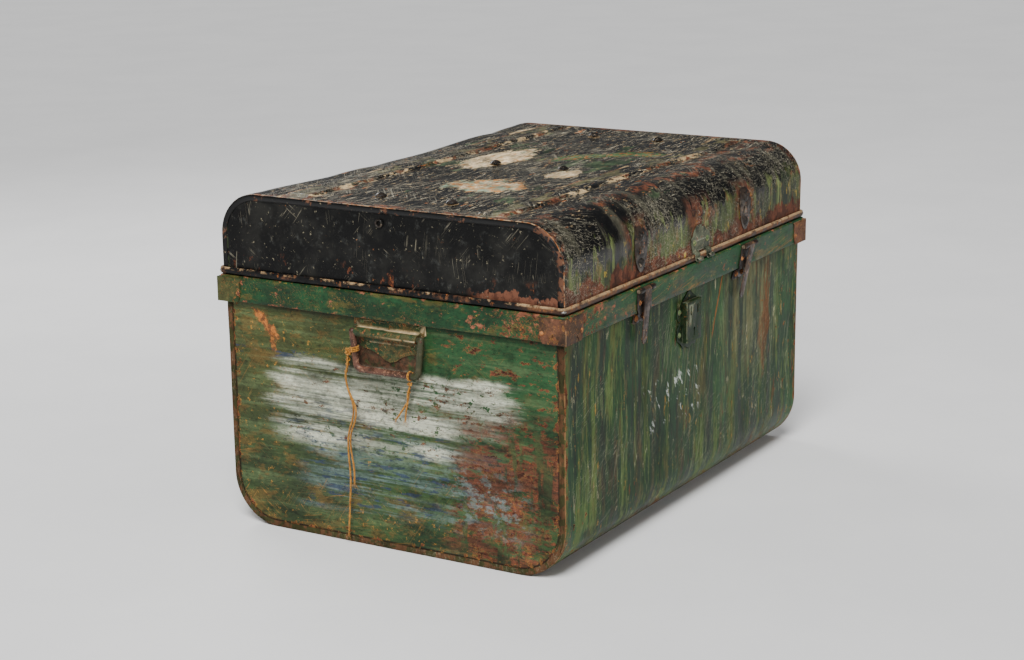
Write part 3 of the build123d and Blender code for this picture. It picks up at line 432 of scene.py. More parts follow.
def body_end_paint():
    """End panels: two greens and olive, broad rust, and whitewash brushed over the left one."""
    g = Graph("body_end_green_paint", GREEN, 0.48)
    left = g.ramp(g.x, 0.02, -0.02)
    cloud = g.noise(8, 6, 0.66, (1, 0.7, 1.2), seed=1.5)
    lines = g.noise(1.0, 4, 0.65, (20, 5, 90), seed=6)
    g.colour = g.mix(g.ramp(cloud, 0.40, 0.60), GREEN_DEEP, GREEN)
    g.layer(g.times(g.ramp(g.y, 0.02, -0.10), g.ramp(g.z, 0.14, 0.25), 0.9), GREEN_VIVID)
    back_side = g.ramp(g.plus(g.y, g.times(cloud, 0.3)), 0.12, 0.30)
    olive = g.either(g.times(back_side, g.ramp(g.z, 0.10, 0.24, 0.35, 1.0)),
                     g.blot(0.54, 0.66, 13, 5, 0.7, seed=9))
    g.layer(g.times(olive, 0.70), (0.058, 0.062, 0.018))
    g.layer(g.times(g.ramp(lines, 0.48, 0.66), 0.45), GREEN_PALE)
    g.roughness = g.blend(g.ramp(cloud, 0.35, 0.7), 0.40, 0.58)

    # ochre and brown stains, most towards the back and low down
    stain_where = g.either(g.times(back_side, 0.8), g.ramp(g.z, 0.14, 0.03), 0.25)
    stain = g.ramp(g.plus(g.noise(26, 6, 0.72, (1, 0.6, 1.4), seed=14),
                          g.times(stain_where, 0.10)), 0.60, 0.67)
    g.layer(g.times(stain, 0.45), (0.150, 0.080, 0.020), 0.6)
    fleck = g.ramp(g.plus(g.noise(120, 6, 0.76, seed=22), g.times(stain_where, 0.05)), 0.655, 0.68)
    g.layer(fleck, (0.34, 0.17, 0.03), 0.62, 0.02)

    # the broad rust towards the front side
    zone = g.times(g.ramp(ragged(g, g.y, 0.20, 14, 37, (1, 0.5, 1.5)), -0.075, -0.125),
                   g.ramp(ragged(g, g.z, 0.16, 12, 38), 0.245, 0.205))
    bare = g.times(zone, g.blot(0.44, 0.52, 30, 6, 0.72, (1, 0.45, 1.7), seed=39))
    level_rust = g.mix(g.ramp(lines, 0.42, 0.60), RUST, RUST_RED)
    level_rust = g.mix(g.blot(0.52, 0.62, 90, 6, 0.75, (1, 0.5, 1.3), seed=41), level_rust,
                       (0.028, 0.022, 0.014))
    g.layer(g.times(bare, 0.92), level_rust, 0.74, -0.08)
    upper_front = g.times(g.ramp(g.y, 0.00, -0.10), g.ramp(g.z, 0.17, 0.24))
    speckled = g.either(g.times(upper_front, 0.70), g.times(zone, 0.9), 0.25)
    chip(g, 40, 0.13, 44, (0.16, 0.09, 0.03), speckled, (1, 0.6, 1.3), 0.74)
    chip(g, 95, 0.10, 45, RUST_RED, speckled, (1, 0.6, 1.3), 0.76)
    uprights = g.times(zone, g.blot(0.53, 0.58, 16, 5, 0.7, (1, 1.6, 0.35), seed=46))
    g.layer(g.times(uprights, 0.8),
            g.mix(g.ramp(cloud, 0.45, 0.55), GREEN_DEEP, (0.050, 0.075, 0.025)), 0.55)

    # the wall within the handle's loop, rubbed down to brown rust
    loop = g.times(g.near(ragged(g, g.y, 0.02, 40, 95), 0.000, 0.050, 0.006),
                   g.near(ragged(g, g.z, 0.02, 40, 96), 0.282, 0.024, 0.006))
    g.layer(g.times(loop, g.blot(0.36, 0.48, 70, 6, 0.72, seed=97), 0.9),
            g.mix(g.speck(110, 0.5, 98), (0.110, 0.045, 0.026), (0.062, 0.034, 0.020)), 0.7)

    # the whitewash: an upper band, a thinner blue-grey one below, and a rubbed patch near the corner
    strokes, broad = dry_brush(g, 28)
    edge_y = ragged(g, ragged(g, g.y, 0.11, 20, 33, (1, 0.3, 2.6)), 0.06, 45, 36, (1, 0.25, 3.0))
    edge_z = ragged(g, g.z, 0.055, 12, 34, (1, 0.35, 1.0))
    upper = g.times(g.near(edge_y, 0.000, 0.165, 0.05), g.near(edge_z, 0.222, 0.034, 0.014))
    middle = g.times(g.near(edge_y, 0.040, 0.125, 0.06), g.near(edge_z, 0.172, 0.026, 0.02))
    lower = g.times(g.near(edge_y, -0.020, 0.130, 0.07), g.near(edge_z, 0.108, 0.046, 0.03))
    rubbed = g.times(g.near(edge_y, -0.150, 0.030, 0.06), g.near(edge_z, 0.090, 0.022, 0.04))
    pits = g.blot(0.60, 0.57, 120, 5, 0.72, (1, 0.6, 1), seed=47)
    few_pits = g.either(pits, g.ramp(g.y, -0.02, 0.06))
    wash = g.times(left, g.less(1.0, g.times(zone, g.ramp(g.z, 0.22, 0.19), 0.75)))
    swept = g.blot(0.40, 0.60, 1.0, 5, 0.72, (20, 9, 34), seed=49)
    g.layer(g.times(wash, lower, g.ramp(strokes, 0.46, 0.60), g.blend(swept, 0.25, 0.70)),
            CHALK_BLUE, 0.7, 0.03)
    g.layer(g.times(left, rubbed, g.blot(0.50, 0.58, 60, 6, 0.75, (1, 0.7, 1.2), seed=48), 0.55),
            CHALK_BLUE, 0.7)
    g.layer(g.times(wash, middle, g.ramp(strokes, 0.41, 0.55), pits, g.blend(swept, 0.35, 0.85)),
            g.mix(g.ramp(broad, 0.42, 0.6), (0.22, 0.26, 0.22), CHALK), 0.7, 0.04)
    g.layer(g.times(wash, upper, g.ramp(strokes, 0.36, 0.50), few_pits, g.blend(swept, 0.62, 0.95)),
            g.mix(g.ramp(strokes, 0.45, 0.60), (0.24, 0.26, 0.20), CHALK), 0.7, 0.05)
    blue_edge = g.near(edge_z, 0.268, 0.003, 0.006)
    ink = g.times(wash, g.either(lower, g.times(middle, 0.6), g.times(blue_edge, g.ramp(g.y, 0.05, 0.10))),
                  g.speck(90, 0.30, 52, (1, 0.35, 1.6)))
    g.layer(g.times(ink, 0.7), (0.022, 0.036, 0.085), 0.6)

    # chips in the white, edges, and scratches
    rusting = g.plus(g.noise(75, 7, 0.76, (1, 0.55, 1.2), seed=62), g.ramp(g.y, 0.10, -0.12, 0.0, 0.035))
    through = g.times(left, g.either(upper, middle, rubbed), g.ramp(rusting, 0.605, 0.63))
    g.layer(g.times(through, 0.9), rust_colour(g, 63), 0.8, -0.06)
    depth = edge_depth(g, BODY_Y, 0.0, BODY_RADIUS)
    band = g.ramp(depth, SEAM + 0.001, SEAM - 0.001)
    shadow = g.near(depth, SEAM + 0.001, 0.0008, 0.0012)
    g.layer(g.times(band, g.blot(0.40, 0.52, 45, 6, 0.7, (1, 1, 1), seed=65), 0.85),
            (0.085, 0.042, 0.020), 0.75)
    g.layer(g.times(shadow, 0.85), (0.016, 0.010, 0.006), 0.7)
    g.layer(g.times(g.ramp(depth, 0.0026, 0.0010), g.blot(0.40, 0.56, 40, 6, 0.72, seed=67), 0.85),
            (0.24, 0.135, 0.055), 0.6)
    chip(g, 70, 0.07, 54, OCHRE, g.ramp(depth, 0.035, 0.010))
    torn_y = ragged(g, ragged(g, g.y, 0.028, 45, 90), 0.012, 160, 92)
    torn_z = ragged(g, ragged(g, g.z, 0.028, 45, 91), 0.012, 160, 93)
    corner_streak = g.times(g.near(g.plus(torn_y, g.times(torn_z, -0.95)), -0.080, 0.0060, 0.004),
                            g.near(torn_z, 0.306, 0.015, 0.006))
    down = g.times(g.near(torn_y, 0.199, 0.0030, 0.003), g.near(torn_z, 0.284, 0.014, 0.006))
    orange = g.mix(g.speck(120, 0.5, 94), (0.40, 0.135, 0.030), (0.15, 0.060, 0.022))
    g.layer(g.times(left, g.either(corner_streak, g.times(down, 0.8))), orange, 0.7)
    low_back = g.times(g.ramp(g.z, 0.17, 0.09), g.ramp(g.y, -0.05, 0.05))
    marks = g.either(g.scratches((12, 0, 90), 11.0, 170, 0.007, 0.48, 16),
                     g.scratches((55, 0, 90), 12.0, 170, 0.007, 0.48, 16),
                     g.scratches((-38, 0, 90), 15.0, 170, 0.007, 0.46, 16))
    g.layer(g.times(marks, g.either(low_back, 0.35), 0.85), (0.30, 0.15, 0.035), 0.6, -0.02)
    g.weathered(74, 0.55, 1.45, (1, 0.6, 1.2), 230, 8)
    # painted shadow under the collar: the panel darkened in a band just below the collar's lower edge
    g.shade(g.times(g.ramp(g.z, COLLAR_BOTTOM - 0.012, COLLAR_BOTTOM - 0.001), 0.6), 0.35)
    g.height = g.plus(g.height, g.times(lines, 0.05))
    return g.finish(0.55)


def body_wrap_paint():
    """Front, bottom and back: green with vertical runs, pale at the right and rusty along the bottom."""
    g = Graph("body_front_green_paint", GREEN, 0.46)
    cloud = g.noise(6, 6, 0.64, (1, 1, 0.7), seed=1.5)
    runs = g.noise(38, 6, 0.70, (1, 1, 0.085), seed=6)
    g.colour = g.mix(g.ramp(cloud, 0.40, 0.60), (0.007, 0.034, 0.010), (0.018, 0.066, 0.017))
    g.layer(g.times(g.ramp(runs, 0.52, 0.60), 0.85), (0.085, 0.125, 0.034))
    g.layer(g.times(g.ramp(runs, 0.47, 0.41), 0.85), (0.003, 0.013, 0.004))
    fine_runs = g.noise(90, 6, 0.74, (1, 1, 0.12), seed=7)
    g.layer(g.times(g.ramp(fine_runs, 0.55, 0.60), 0.7), (0.100, 0.135, 0.045))
    g.layer(g.times(g.blot(0.55, 0.64, 46, 6, 0.72, (1, 1, 0.12), seed=8), 0.7), OLIVE)
    g.roughness = g.blend(g.ramp(runs, 0.4, 0.65), 0.36, 0.56)

    right = g.ramp(g.plus(g.x, g.times(cloud, 0.2)), 0.18, 0.36)
    pale = g.times(g.near(ragged(g, g.x, 0.16, 18, 30, (1, 1, 0.2)), 0.205, 0.060, 0.06),
                   g.ramp(ragged(g, g.z, 0.14, 14, 31, (1, 1, 0.5)), 0.13, 0.24))
    g.layer(g.times(pale, g.ramp(runs, 0.40, 0.58), 0.70), (0.155, 0.145, 0.075), 0.6)
    brown = g.times(g.either(right, 0.22), g.blot(0.54, 0.61, 36, 6, 0.74, (1, 1, 0.14), seed=12))
    g.layer(g.times(brown, 0.8), (0.16, 0.062, 0.024), 0.65)
    for seed, colour, level in ((19, (0.33, 0.20, 0.04), 0.620), (20, (0.32, 0.30, 0.18), 0.625),
                                (21, RUST_RED, 0.625)):
        drops = g.noise(95, 6, 0.76, (1, 1, 0.24), seed=seed)
        g.layer(g.times(g.ramp(drops, level, level + 0.03), 0.85), colour, 0.62, 0.02)

    # a few dry dabs of white, left of the middle and below the lock
    dab = g.times(g.ramp(g.y, -BODY_Y + 0.02, -BODY_Y + 0.008),
                  g.near(ragged(g, g.z, 0.06, 18, 70), 0.182, 0.026, 0.014))
    dab = g.times(dab, g.near(ragged(g, g.x, 0.10, 14, 71), -0.065, 0.075, 0.03))
    dab = g.times(dab, g.blot(0.58, 0.64, 1.0, 4, 0.7, (85, 20, 30), (0, 35, 0), 35))
    g.layer(g.times(dab, 0.8), (0.62, 0.65, 0.60), 0.65, 0.05)

    # rust by the seams and the bottom, and pale wear on the upright corner
    ends = g.amount(g.x)
    bottom = g.ramp(g.z, 0.060, 0.015)
    seam = g.ramp(ends, BODY_X - 0.030, BODY_X - 0.004)
    near_end = g.times(g.ramp(g.x, -0.12, -0.33), g.ramp(g.z, 0.27, 0.05))
    rusty = g.either(g.times(bottom, 0.9), seam, g.times(near_end, 0.70))
    chip(g, 38, 0.09, 44, (0.18, 0.10, 0.035), rusty, (1, 1, 0.6))
    chip(g, 100, 0.07, 54, OCHRE, g.either(seam, bottom, g.times(right, 0.6)), (1, 1, 0.7))
    band = g.ramp(ends, BODY_X - FOLD_LINE, BODY_X - 0.0020)
    g.layer(band, g.mix(g.speck(60, 0.5, 57), (0.040, 0.038, 0.014), (0.095, 0.046, 0.022)), 0.65)
    g.layer(g.times(g.near(ends, BODY_X - FOLD_LINE, 0.0006, 0.0010), g.speck(60, 0.6, 58)),
            (0.23, 0.12, 0.050), 0.6)
    streak = g.near(g.plus(g.x, g.times(g.z, -0.36)), -0.020, 0.0012, 0.0014)
    streak = g.times(streak, g.near(g.z, 0.295, 0.045, 0.01), g.ramp(g.x, 0.02, 0.06),
                     g.ramp(g.y, -0.26, -0.27))
    g.layer(g.times(streak, 0.8), RUST_ORANGE, 0.7)
    marks = g.either(g.scratches((0, 25, 5), 11.0, 200), g.scratches((0, 74, 0), 12.0, 200))
    g.layer(g.times(marks, 0.45), (0.26, 0.25, 0.17), 0.6, -0.02)
    g.weathered(73, 0.50, 1.55, (1, 1, 0.22), 230, 8)
    # painted shadow under the collar: the front and back darkened in a band just below the collar's lower
    # edge
    painted_shadow_under_collar = g.times(g.ramp(g.z, COLLAR_BOTTOM - 0.010, COLLAR_BOTTOM - 0.001), 0.6)
    g.shade(painted_shadow_under_collar, 0.35)
    g.bumps(0.12, 40, 3, 0.5, seed=71)
    return g.finish(0.55, specular=0.20, ior=1.33)


def lid_end_paint():
    """End panels of the lid: black enamel, knocked and scratched, rusting up from the rim."""
    g = Graph("lid_end_black_enamel", BLACK, 0.3)
    smoke = g.noise(13, 5, 0.66, seed=8)
    g.colour = g.mix(g.ramp(smoke, 0.45, 0.68), BLACK, SOOT)
    g.layer(g.times(g.blot(0.54, 0.72, 60, 6, 0.75, seed=10), 0.7), (0.055, 0.057, 0.052))
    g.roughness = g.blend(g.ramp(smoke, 0.35, 0.65), 0.24, 0.42)
    low = g.ramp(ragged(g, g.z, 0.075, 22, 3), LID_BOTTOM + 0.021, LID_BOTTOM + 0.019)
    toward_front = g.ramp(ragged(g, g.y, 0.08, 12, 4), -0.13, -0.16)
    peeled = g.mix(g.blot(0.46, 0.58, 70, 6, 0.74, seed=13), (0.155, 0.062, 0.036), (0.080, 0.032, 0.020))
    g.layer(g.times(low, toward_front), peeled, 0.7, -0.10)
    spots = g.blot(0.600, 0.625, 46, 6, 0.7, (1, 1, 0.6), seed=12)
    g.layer(g.times(spots, g.ramp(g.z, LID_BOTTOM + 0.045, LID_BOTTOM + 0.015)),
            rust_colour(g, 14), 0.8, -0.10)
    g.layer(g.blot(0.672, 0.69, 80, 6, 0.75, seed=15), (0.30, 0.12, 0.045), 0.75, -0.06)
    g.layer(g.times(g.blot(0.64, 0.67, 150, 5, 0.75, seed=16), 0.8), (0.27, 0.24, 0.16), 0.6, -0.03)
    marks = g.either(g.scratches((84, 0, 90), 2.0, 110, 0.007, 0.42, 24),
                     g.scratches((50, 0, 90), 5.0, 110, 0.006, 0.42, 20),
                     g.scratches((97, 0, 90), 7.0, 130, 0.006, 0.42, 28),
                     g.scratches((-35, 0, 90), 9.0, 110, 0.006, 0.40, 22))
    g.layer(g.times(marks, 0.7), (0.20, 0.18, 0.13), 0.55, -0.02)
    depth = edge_depth(g, LID_Y, LID_TOP, LID_RADIUS)
    band = g.ramp(depth, SEAM, SEAM - 0.002)
    front_side = g.ramp(g.y, -0.20, -0.245, 0.0, 0.10)
    rubbed = g.ramp(g.plus(g.noise(50, 6, 0.72, seed=19), front_side), 0.55, 0.59)
    g.layer(g.times(band, rubbed),
            g.mix(g.speck(90, 0.5, 20), (0.17, 0.075, 0.038), (0.085, 0.040, 0.022)), 0.7)
    g.layer(g.times(g.ramp(depth, 0.0035, 0.0012), g.blot(0.42, 0.50, 34, 5, 0.7, seed=24)),
            (0.34, 0.17, 0.07), 0.6)
    back_edge = g.times(g.ramp(g.y, LID_Y - 0.013, LID_Y - 0.004), g.ramp(g.z, 0.46, 0.43))
    g.layer(g.times(back_edge, g.speck(60, 0.55, 26)), GREEN_PALE, 0.55)
    g.bumps(0.10, 26, 3, 0.5, seed=70)
    return g.finish(0.55, specular=0.20, ior=1.38)


# Bare patches of the lid's top, as (x, y, half length, half width)
TOP_PATCHES = ((0.050, 0.080, 0.095, 0.034), (-0.165, -0.030, 0.050, 0.056), (-0.030, -0.080, 0.036, 0.026),
               (0.300, 0.185, 0.035, 0.012))
# Middle and direction of the green streak
STREAK_X, STREAK_Y = 0.142, -0.056
STREAK_COS, STREAK_SIN = 0.73, 0.68
HASP_PLACES = (-0.171, 0.017, 0.171)
STUD_PLACES = [(x, y) for x in (-0.310, 0.0, 0.310) for y in (-0.062, 0.056)]


def lid_wrap_paint():
    """Black enamel over green on the top; green and rust with black running down it on the front."""
    g = Graph("lid_black_enamel", BLACK, 0.32)
    top = g.ramp(g.z, LID_TOP - 0.024, LID_TOP - 0.006)
    smoke = g.noise(9, 6, 0.68, (0.6, 1.3, 1), seed=8)
    strokes = g.noise(1.0, 6, 0.72, (24, 85, 12), seed=17)
    g.colour = g.mix(g.ramp(smoke, 0.46, 0.68), BLACK, SOOT)
    flat = g.ramp(g.amount(g.y), LID_Y - 0.048, LID_Y - 0.078)
    g.layer(g.times(g.blend(flat, 0.15, 0.6), g.ramp(strokes, 0.55, 0.62)), (0.085, 0.073, 0.050))
    bend_runs = g.noise(44, 5, 0.66, (1, 0.12, 0.12), seed=89)
    g.layer(g.times(g.less(1.0, flat), g.ramp(bend_runs, 0.53, 0.62), 0.7), (0.070, 0.066, 0.045))
    for seed, turn in ((19, 0), (38, 6), (39, -8)):
        hairs = g.noise(1.0, 5, 0.72, (22, 330, 40), (0, 0, turn), seed=seed)
        g.layer(g.times(flat, g.ramp(hairs, 0.617, 0.634)), (0.52, 0.45, 0.32))
    g.roughness = g.blend(g.times(flat, g.ramp(strokes, 0.46, 0.64)), 0.20, 0.46)

    # old green and cream under the black of the top
    middle = g.times(g.near(g.x, 0.0, 0.16, 0.16), g.near(g.y, 0.02, 0.13, 0.08))
    green_wear = g.ramp(g.plus(smoke, g.times(middle, 0.05)), 0.60, 0.64)
    g.layer(g.times(top, green_wear, 0.8),
            g.mix(g.ramp(strokes, 0.45, 0.6), GREEN_DEEP, (0.07, 0.11, 0.05)), 0.5)
    g.layer(g.times(top, g.blot(0.605, 0.635, 1.0, 6, 0.75, (48, 120, 60), seed=18), 0.85),
            CREAM, 0.6, -0.03)
    g.layer(g.times(top, g.blot(0.625, 0.65, 1.0, 6, 0.75, (30, 95, 60), seed=23), 0.9),
            RUST_ORANGE, 0.7, -0.05)
    patches = 0.0
    for x, y, half_x, half_y in TOP_PATCHES:
        dx = g.math("DIVIDE", g.minus(g.x, x), half_x)
        dy = g.math("DIVIDE", g.minus(g.y, y), half_y)
        patches = g.either(patches, g.ramp(g.plus(g.times(dx, dx), g.times(dy, dy)), 2.4, 0.2))
    torn = g.plus(patches, g.times(g.minus(g.noise(22, 8, 0.76, (0.6, 1.6, 1), seed=31), 0.5), 3.0))
    torn = g.plus(torn, g.times(g.minus(g.noise(1.0, 5, 0.72, (40, 190, 60), seed=33), 0.5), 1.5))
    bare = g.mix(g.blot(0.46, 0.56, 1.0, 6, 0.75, (45, 120, 60), seed=32), (0.82, 0.64, 0.40),
                 (0.46, 0.32, 0.15))
    minty = g.ramp(g.x, -0.08, -0.10, 0.0, 0.07)
    bare = g.mix(g.ramp(g.plus(g.noise(38, 6, 0.75, seed=34), minty), 0.55, 0.60), bare, (0.27, 0.36, 0.24))
    bare = g.mix(g.ramp(g.plus(g.noise(58, 6, 0.75, seed=36), minty), 0.58, 0.62), bare, (0.55, 0.22, 0.05))
    inside = g.ramp(patches, 0.0, 0.15)
    g.layer(g.times(top, g.ramp(torn, 0.50, 0.60), inside, 0.9), (0.10, 0.075, 0.035), 0.6, -0.02)
    g.layer(g.times(top, g.ramp(torn, 0.62, 0.72), inside), bare, 0.62, -0.06)

    # a slanting green streak towards the front right, and a worn ring at the foot of each stud
    from_x = g.minus(g.x, STREAK_X)
    from_y = g.minus(g.y, STREAK_Y)
    along = g.plus(g.times(from_x, STREAK_COS), g.times(from_y, -STREAK_SIN))
    across = g.plus(g.times(from_x, STREAK_SIN), g.times(from_y, STREAK_COS))
    green_streak = g.times(g.near(ragged(g, along, 0.10, 14, 83), 0.0, 0.080, 0.03),
                           g.near(ragged(g, across, 0.05, 20, 84), 0.0, 0.013, 0.012))
    g.layer(g.times(top, green_streak, g.ramp(strokes, 0.40, 0.50), 0.9), (0.055, 0.130, 0.040), 0.5, -0.02)
    g.layer(g.times(top, green_streak, g.blot(0.53, 0.57, 1.0, 6, 0.75, (60, 140, 60), seed=85)),
            RUST_ORANGE, 0.7)
    for x, y in STUD_PLACES:
        dx = g.minus(g.x, x)
        dy = g.minus(g.y, y)
        away = g.math("SQRT", g.plus(g.times(dx, dx), g.times(dy, dy)))
        ring = g.times(g.ramp(ragged(g, away, 0.012, 60, 86), 0.0105, 0.0085),
                       g.blot(0.38, 0.48, 60, 5, 0.7, seed=87))
        g.layer(g.times(top, ring, 0.9), (0.52, 0.34, 0.17), 0.6)

    # the ribs and creases of the top, rubbed to cream, olive and rust
    rib_side = g.near(g.amount(g.y), RIB_Y, RIB_WIDTH / 2, 0.003)
    rib_edge = g.either(g.near(g.amount(g.y), RIB_Y - RIB_WIDTH / 2 + 0.004, 0.003, 0.006),
                        g.near(g.amount(g.y), RIB_Y + RIB_WIDTH / 2 - 0.004, 0.003, 0.006))
    rubbed = g.noise(1.0, 6, 0.72, (20, 46, 40), seed=25)
    g.layer(g.times(top, rib_side, g.ramp(rubbed, 0.50, 0.58), 0.75), (0.13, 0.12, 0.055), 0.55, -0.03)
    g.layer(g.times(top, rib_edge, g.ramp(rubbed, 0.52, 0.57)), rust_colour(g, 27), 0.75, -0.05)
    g.layer(g.times(top, rib_edge, g.blot(0.55, 0.59, 1.0, 6, 0.72, (26, 50, 40), seed=29)),
            CREAM, 0.6, -0.05)
    crease = g.near(ragged(g, g.y, 0.05, 9, 42), -0.232, 0.006, 0.010)
    crease = g.either(crease, g.times(g.near(ragged(g, g.y, 0.10, 7, 43), -0.20, 0.006, 0.012),
                                      g.ramp(g.x, 0.0, 0.2)),
                      g.near(g.amount(g.x), LID_X - 0.009, 0.004, 0.012))
    g.layer(g.times(crease, g.blot(0.50, 0.56, 36, 7, 0.75, seed=44)), rust_colour(g, 45), 0.8, -0.06)

    # the front: black above, running down in streaks over olive green, with rust rising from the rim
    drip = g.noise(30, 5, 0.66, (1, 1, 0.09), seed=4)
    front = g.ramp(g.amount(g.y), LID_Y - 0.040, LID_Y - 0.010)
    fall = g.plus(g.ramp(g.z, 0.478, 0.395, 0.0, 0.85), g.ramp(g.x, -0.38, 0.30, -0.16, 0.25))
    fall = g.plus(fall, g.times(g.minus(drip, 0.5), 1.7))
    skirt = g.mix(g.blot(0.42, 0.56, 30, 6, 0.72, (1, 1, 0.18), seed=46), (0.008, 0.016, 0.005),
                  (0.062, 0.086, 0.018))
    skirt = g.mix(g.blot(0.54, 0.61, 60, 6, 0.75, (1, 1, 0.35), seed=49), skirt, (0.15, 0.12, 0.035))
    skirt = g.mix(g.blot(0.56, 0.61, 55, 6, 0.75, (1, 1, 0.30), seed=47), skirt, (0.16, 0.055, 0.024))
    g.layer(g.times(front, g.ramp(fall, 0.42, 0.54)), skirt, 0.52, -0.02)
    light_runs = g.noise(60, 6, 0.70, (1, 1, 0.10), seed=50)
    g.layer(g.times(front, g.ramp(light_runs, 0.56, 0.61), g.ramp(g.z, 0.47, 0.44), 0.8),
            (0.16, 0.20, 0.055), 0.5)
    g.layer(g.times(front, g.ramp(light_runs, 0.45, 0.39), g.ramp(g.z, 0.46, 0.43), 0.8),
            (0.006, 0.008, 0.004), 0.4)
    rise = g.plus(g.ramp(g.z, LID_BOTTOM + 0.060, LID_BOTTOM + 0.010, 0.0, 0.36),
                  g.noise(22, 6, 0.72, (1, 1, 0.5), seed=52))
    g.layer(g.times(front, g.ramp(rise, 0.68, 0.74)),
            g.mix(g.speck(60, 0.5, 53), RUST_RED, RUST), 0.8, -0.05)
    g.layer(g.times(front, g.blot(0.61, 0.64, 70, 6, 0.75, (1, 1, 0.5), seed=55),
                    g.ramp(g.z, 0.46, 0.42)), YELLOW, 0.6)
    stained = 0.0
    for x in HASP_PLACES:
        stained = g.either(stained, g.times(g.near(g.x, x, 0.026, 0.022), g.near(g.z, 0.418, 0.030, 0.025)))
    g.layer(g.times(front, stained, g.blot(0.43, 0.52, 34, 6, 0.72, (1, 1, 0.4), seed=57), 0.9),
            rust_colour(g, 58), 0.8, -0.04)

    # scratches and dust
    marks = g.either(g.scratches((0, 0, 24), 1.0), g.scratches((0, 0, 71), 2.0),
                     g.scratches((0, 0, -38), 5.0, 220))
    g.layer(g.times(marks, 0.8), (0.33, 0.30, 0.22), 0.55, -0.02)
    g.layer(g.times(flat, g.blot(0.635, 0.665, 200, 5, 0.75, seed=60), 0.7), (0.30, 0.27, 0.20), 0.6)
    g.weathered(75, 0.55, 1.6, (0.7, 0.9, 0.20), 110, 9)
    ends = g.amount(g.x)
    face = g.ramp(ends, LID_X - FOLD_LINE, LID_X - 0.0022)
    g.layer(face, g.mix(g.speck(140, 0.10, 81), BLACK, (0.20, 0.17, 0.11)), 0.3)
    face_rust = g.plus(g.noise(48, 6, 0.72, seed=88), g.ramp(g.y, -0.20, -0.26, 0.0, 0.045))
    g.layer(g.times(face, g.ramp(face_rust, 0.58, 0.61)), (0.120, 0.052, 0.028), 0.7)
    g.layer(g.times(g.near(ends, LID_X - 0.0036, 0.0006, 0.0010), g.blot(0.44, 0.54, 60, 6, 0.75, seed=82)),
            g.mix(g.speck(120, 0.5, 83), RUST_ORANGE, (0.42, 0.27, 0.15)), 0.6)
    g.bumps(0.12, 30, 3, 0.5, seed=70)
    return g.finish(0.6, specular=0.30, ior=1.42)


def worn_paint(name, base, second, wear, rust, roughness, fine, seed, edge, reach=0.55):
    """Painted small metalwork: two tones of one paint, worn at random to a second colour and rust, with pale
    outer edges that are partly worn paint and partly painted highlight.
    """
    g = Graph(name, base, roughness)
    tone = g.blot(0.42, 0.60, 30, 5, 0.65, seed=seed)
    g.colour = g.mix(tone, base, second)
    g.roughness = g.blend(tone, roughness, roughness + 0.14)
    chip(g, fine, rust, seed + 3, wear)
    chip(g, fine * 3.0, rust * 0.8, seed + 6, wear)
    # pale rim along the outer edges: partly worn paint, partly a painted highlight
    g.layer(g.times(g.edges(reach, reach + 0.08), g.speck(70, 0.72, seed + 8), 0.9), edge, 0.5)
    g.layer(g.times(g.scratches((20, 30, 15), seed + 9, 300), 0.5), wear, 0.5)
    g.weathered(seed + 12, 0.60, 1.5, (1, 1, 1), 220, 22)
    g.bumps(0.22, 220, 4, 0.6, seed=seed + 11)
    return g.finish()


def collar_paint():
    """Green channel with olive runs and rust, most at the left-hand front corner."""
    g = Graph("collar_green_paint", GREEN, 0.46)
    tone = g.noise(11, 6, 0.68, (1, 1, 1.6), seed=3)
    g.colour = g.mix(g.ramp(tone, 0.40, 0.60), (0.009, 0.032, 0.012), (0.014, 0.064, 0.022))
    g.layer(g.times(g.blot(0.54, 0.62, 20, 5, 0.7, (1, 1, 2.5), seed=5), 0.8), OLIVE)
    g.roughness = g.blend(g.ramp(tone, 0.4, 0.6), 0.38, 0.55)
    corner = g.times(g.ramp(g.x, -0.10, -0.36), g.ramp(g.y, 0.02, -0.24))
    edge = g.either(g.ramp(g.z, COLLAR_BOTTOM + 0.005, COLLAR_BOTTOM),
                    g.ramp(g.z, COLLAR_TOP - 0.004, COLLAR_TOP))
    chip(g, 46, 0.12, 7, (0.16, 0.10, 0.03), g.either(g.times(corner, 0.95), g.times(edge, 0.7), 0.12),
         (1, 1, 1.3), 0.74)
    chip(g, 120, 0.10, 12, RUST_RED, g.either(g.times(corner, 0.95), g.times(edge, 0.8), 0.25),
         (1, 1, 1.3), 0.76)
    g.layer(g.times(g.blot(0.635, 0.655, 90, 6, 0.75, (1, 1, 2), seed=9), 0.8), YELLOW, 0.6)
    chips = g.plus(g.noise(52, 6, 0.74, (1, 1, 1.4), seed=30), g.times(g.either(edge, corner), 0.055))
    g.layer(g.ramp(chips, 0.625, 0.64), (0.27, 0.095, 0.050), 0.7, -0.04)
    g.layer(g.times(g.either(g.scratches((0, 10, 0), 14.0), g.scratches((40, 30, 0), 15.0)),
                    0.6), OCHRE, 0.6)
    g.weathered(76, 0.60, 1.45, (1, 1, 2), 170, 9)
    g.bumps(0.12, 45, 4, 0.5, seed=11)
    return g.finish(0.55)


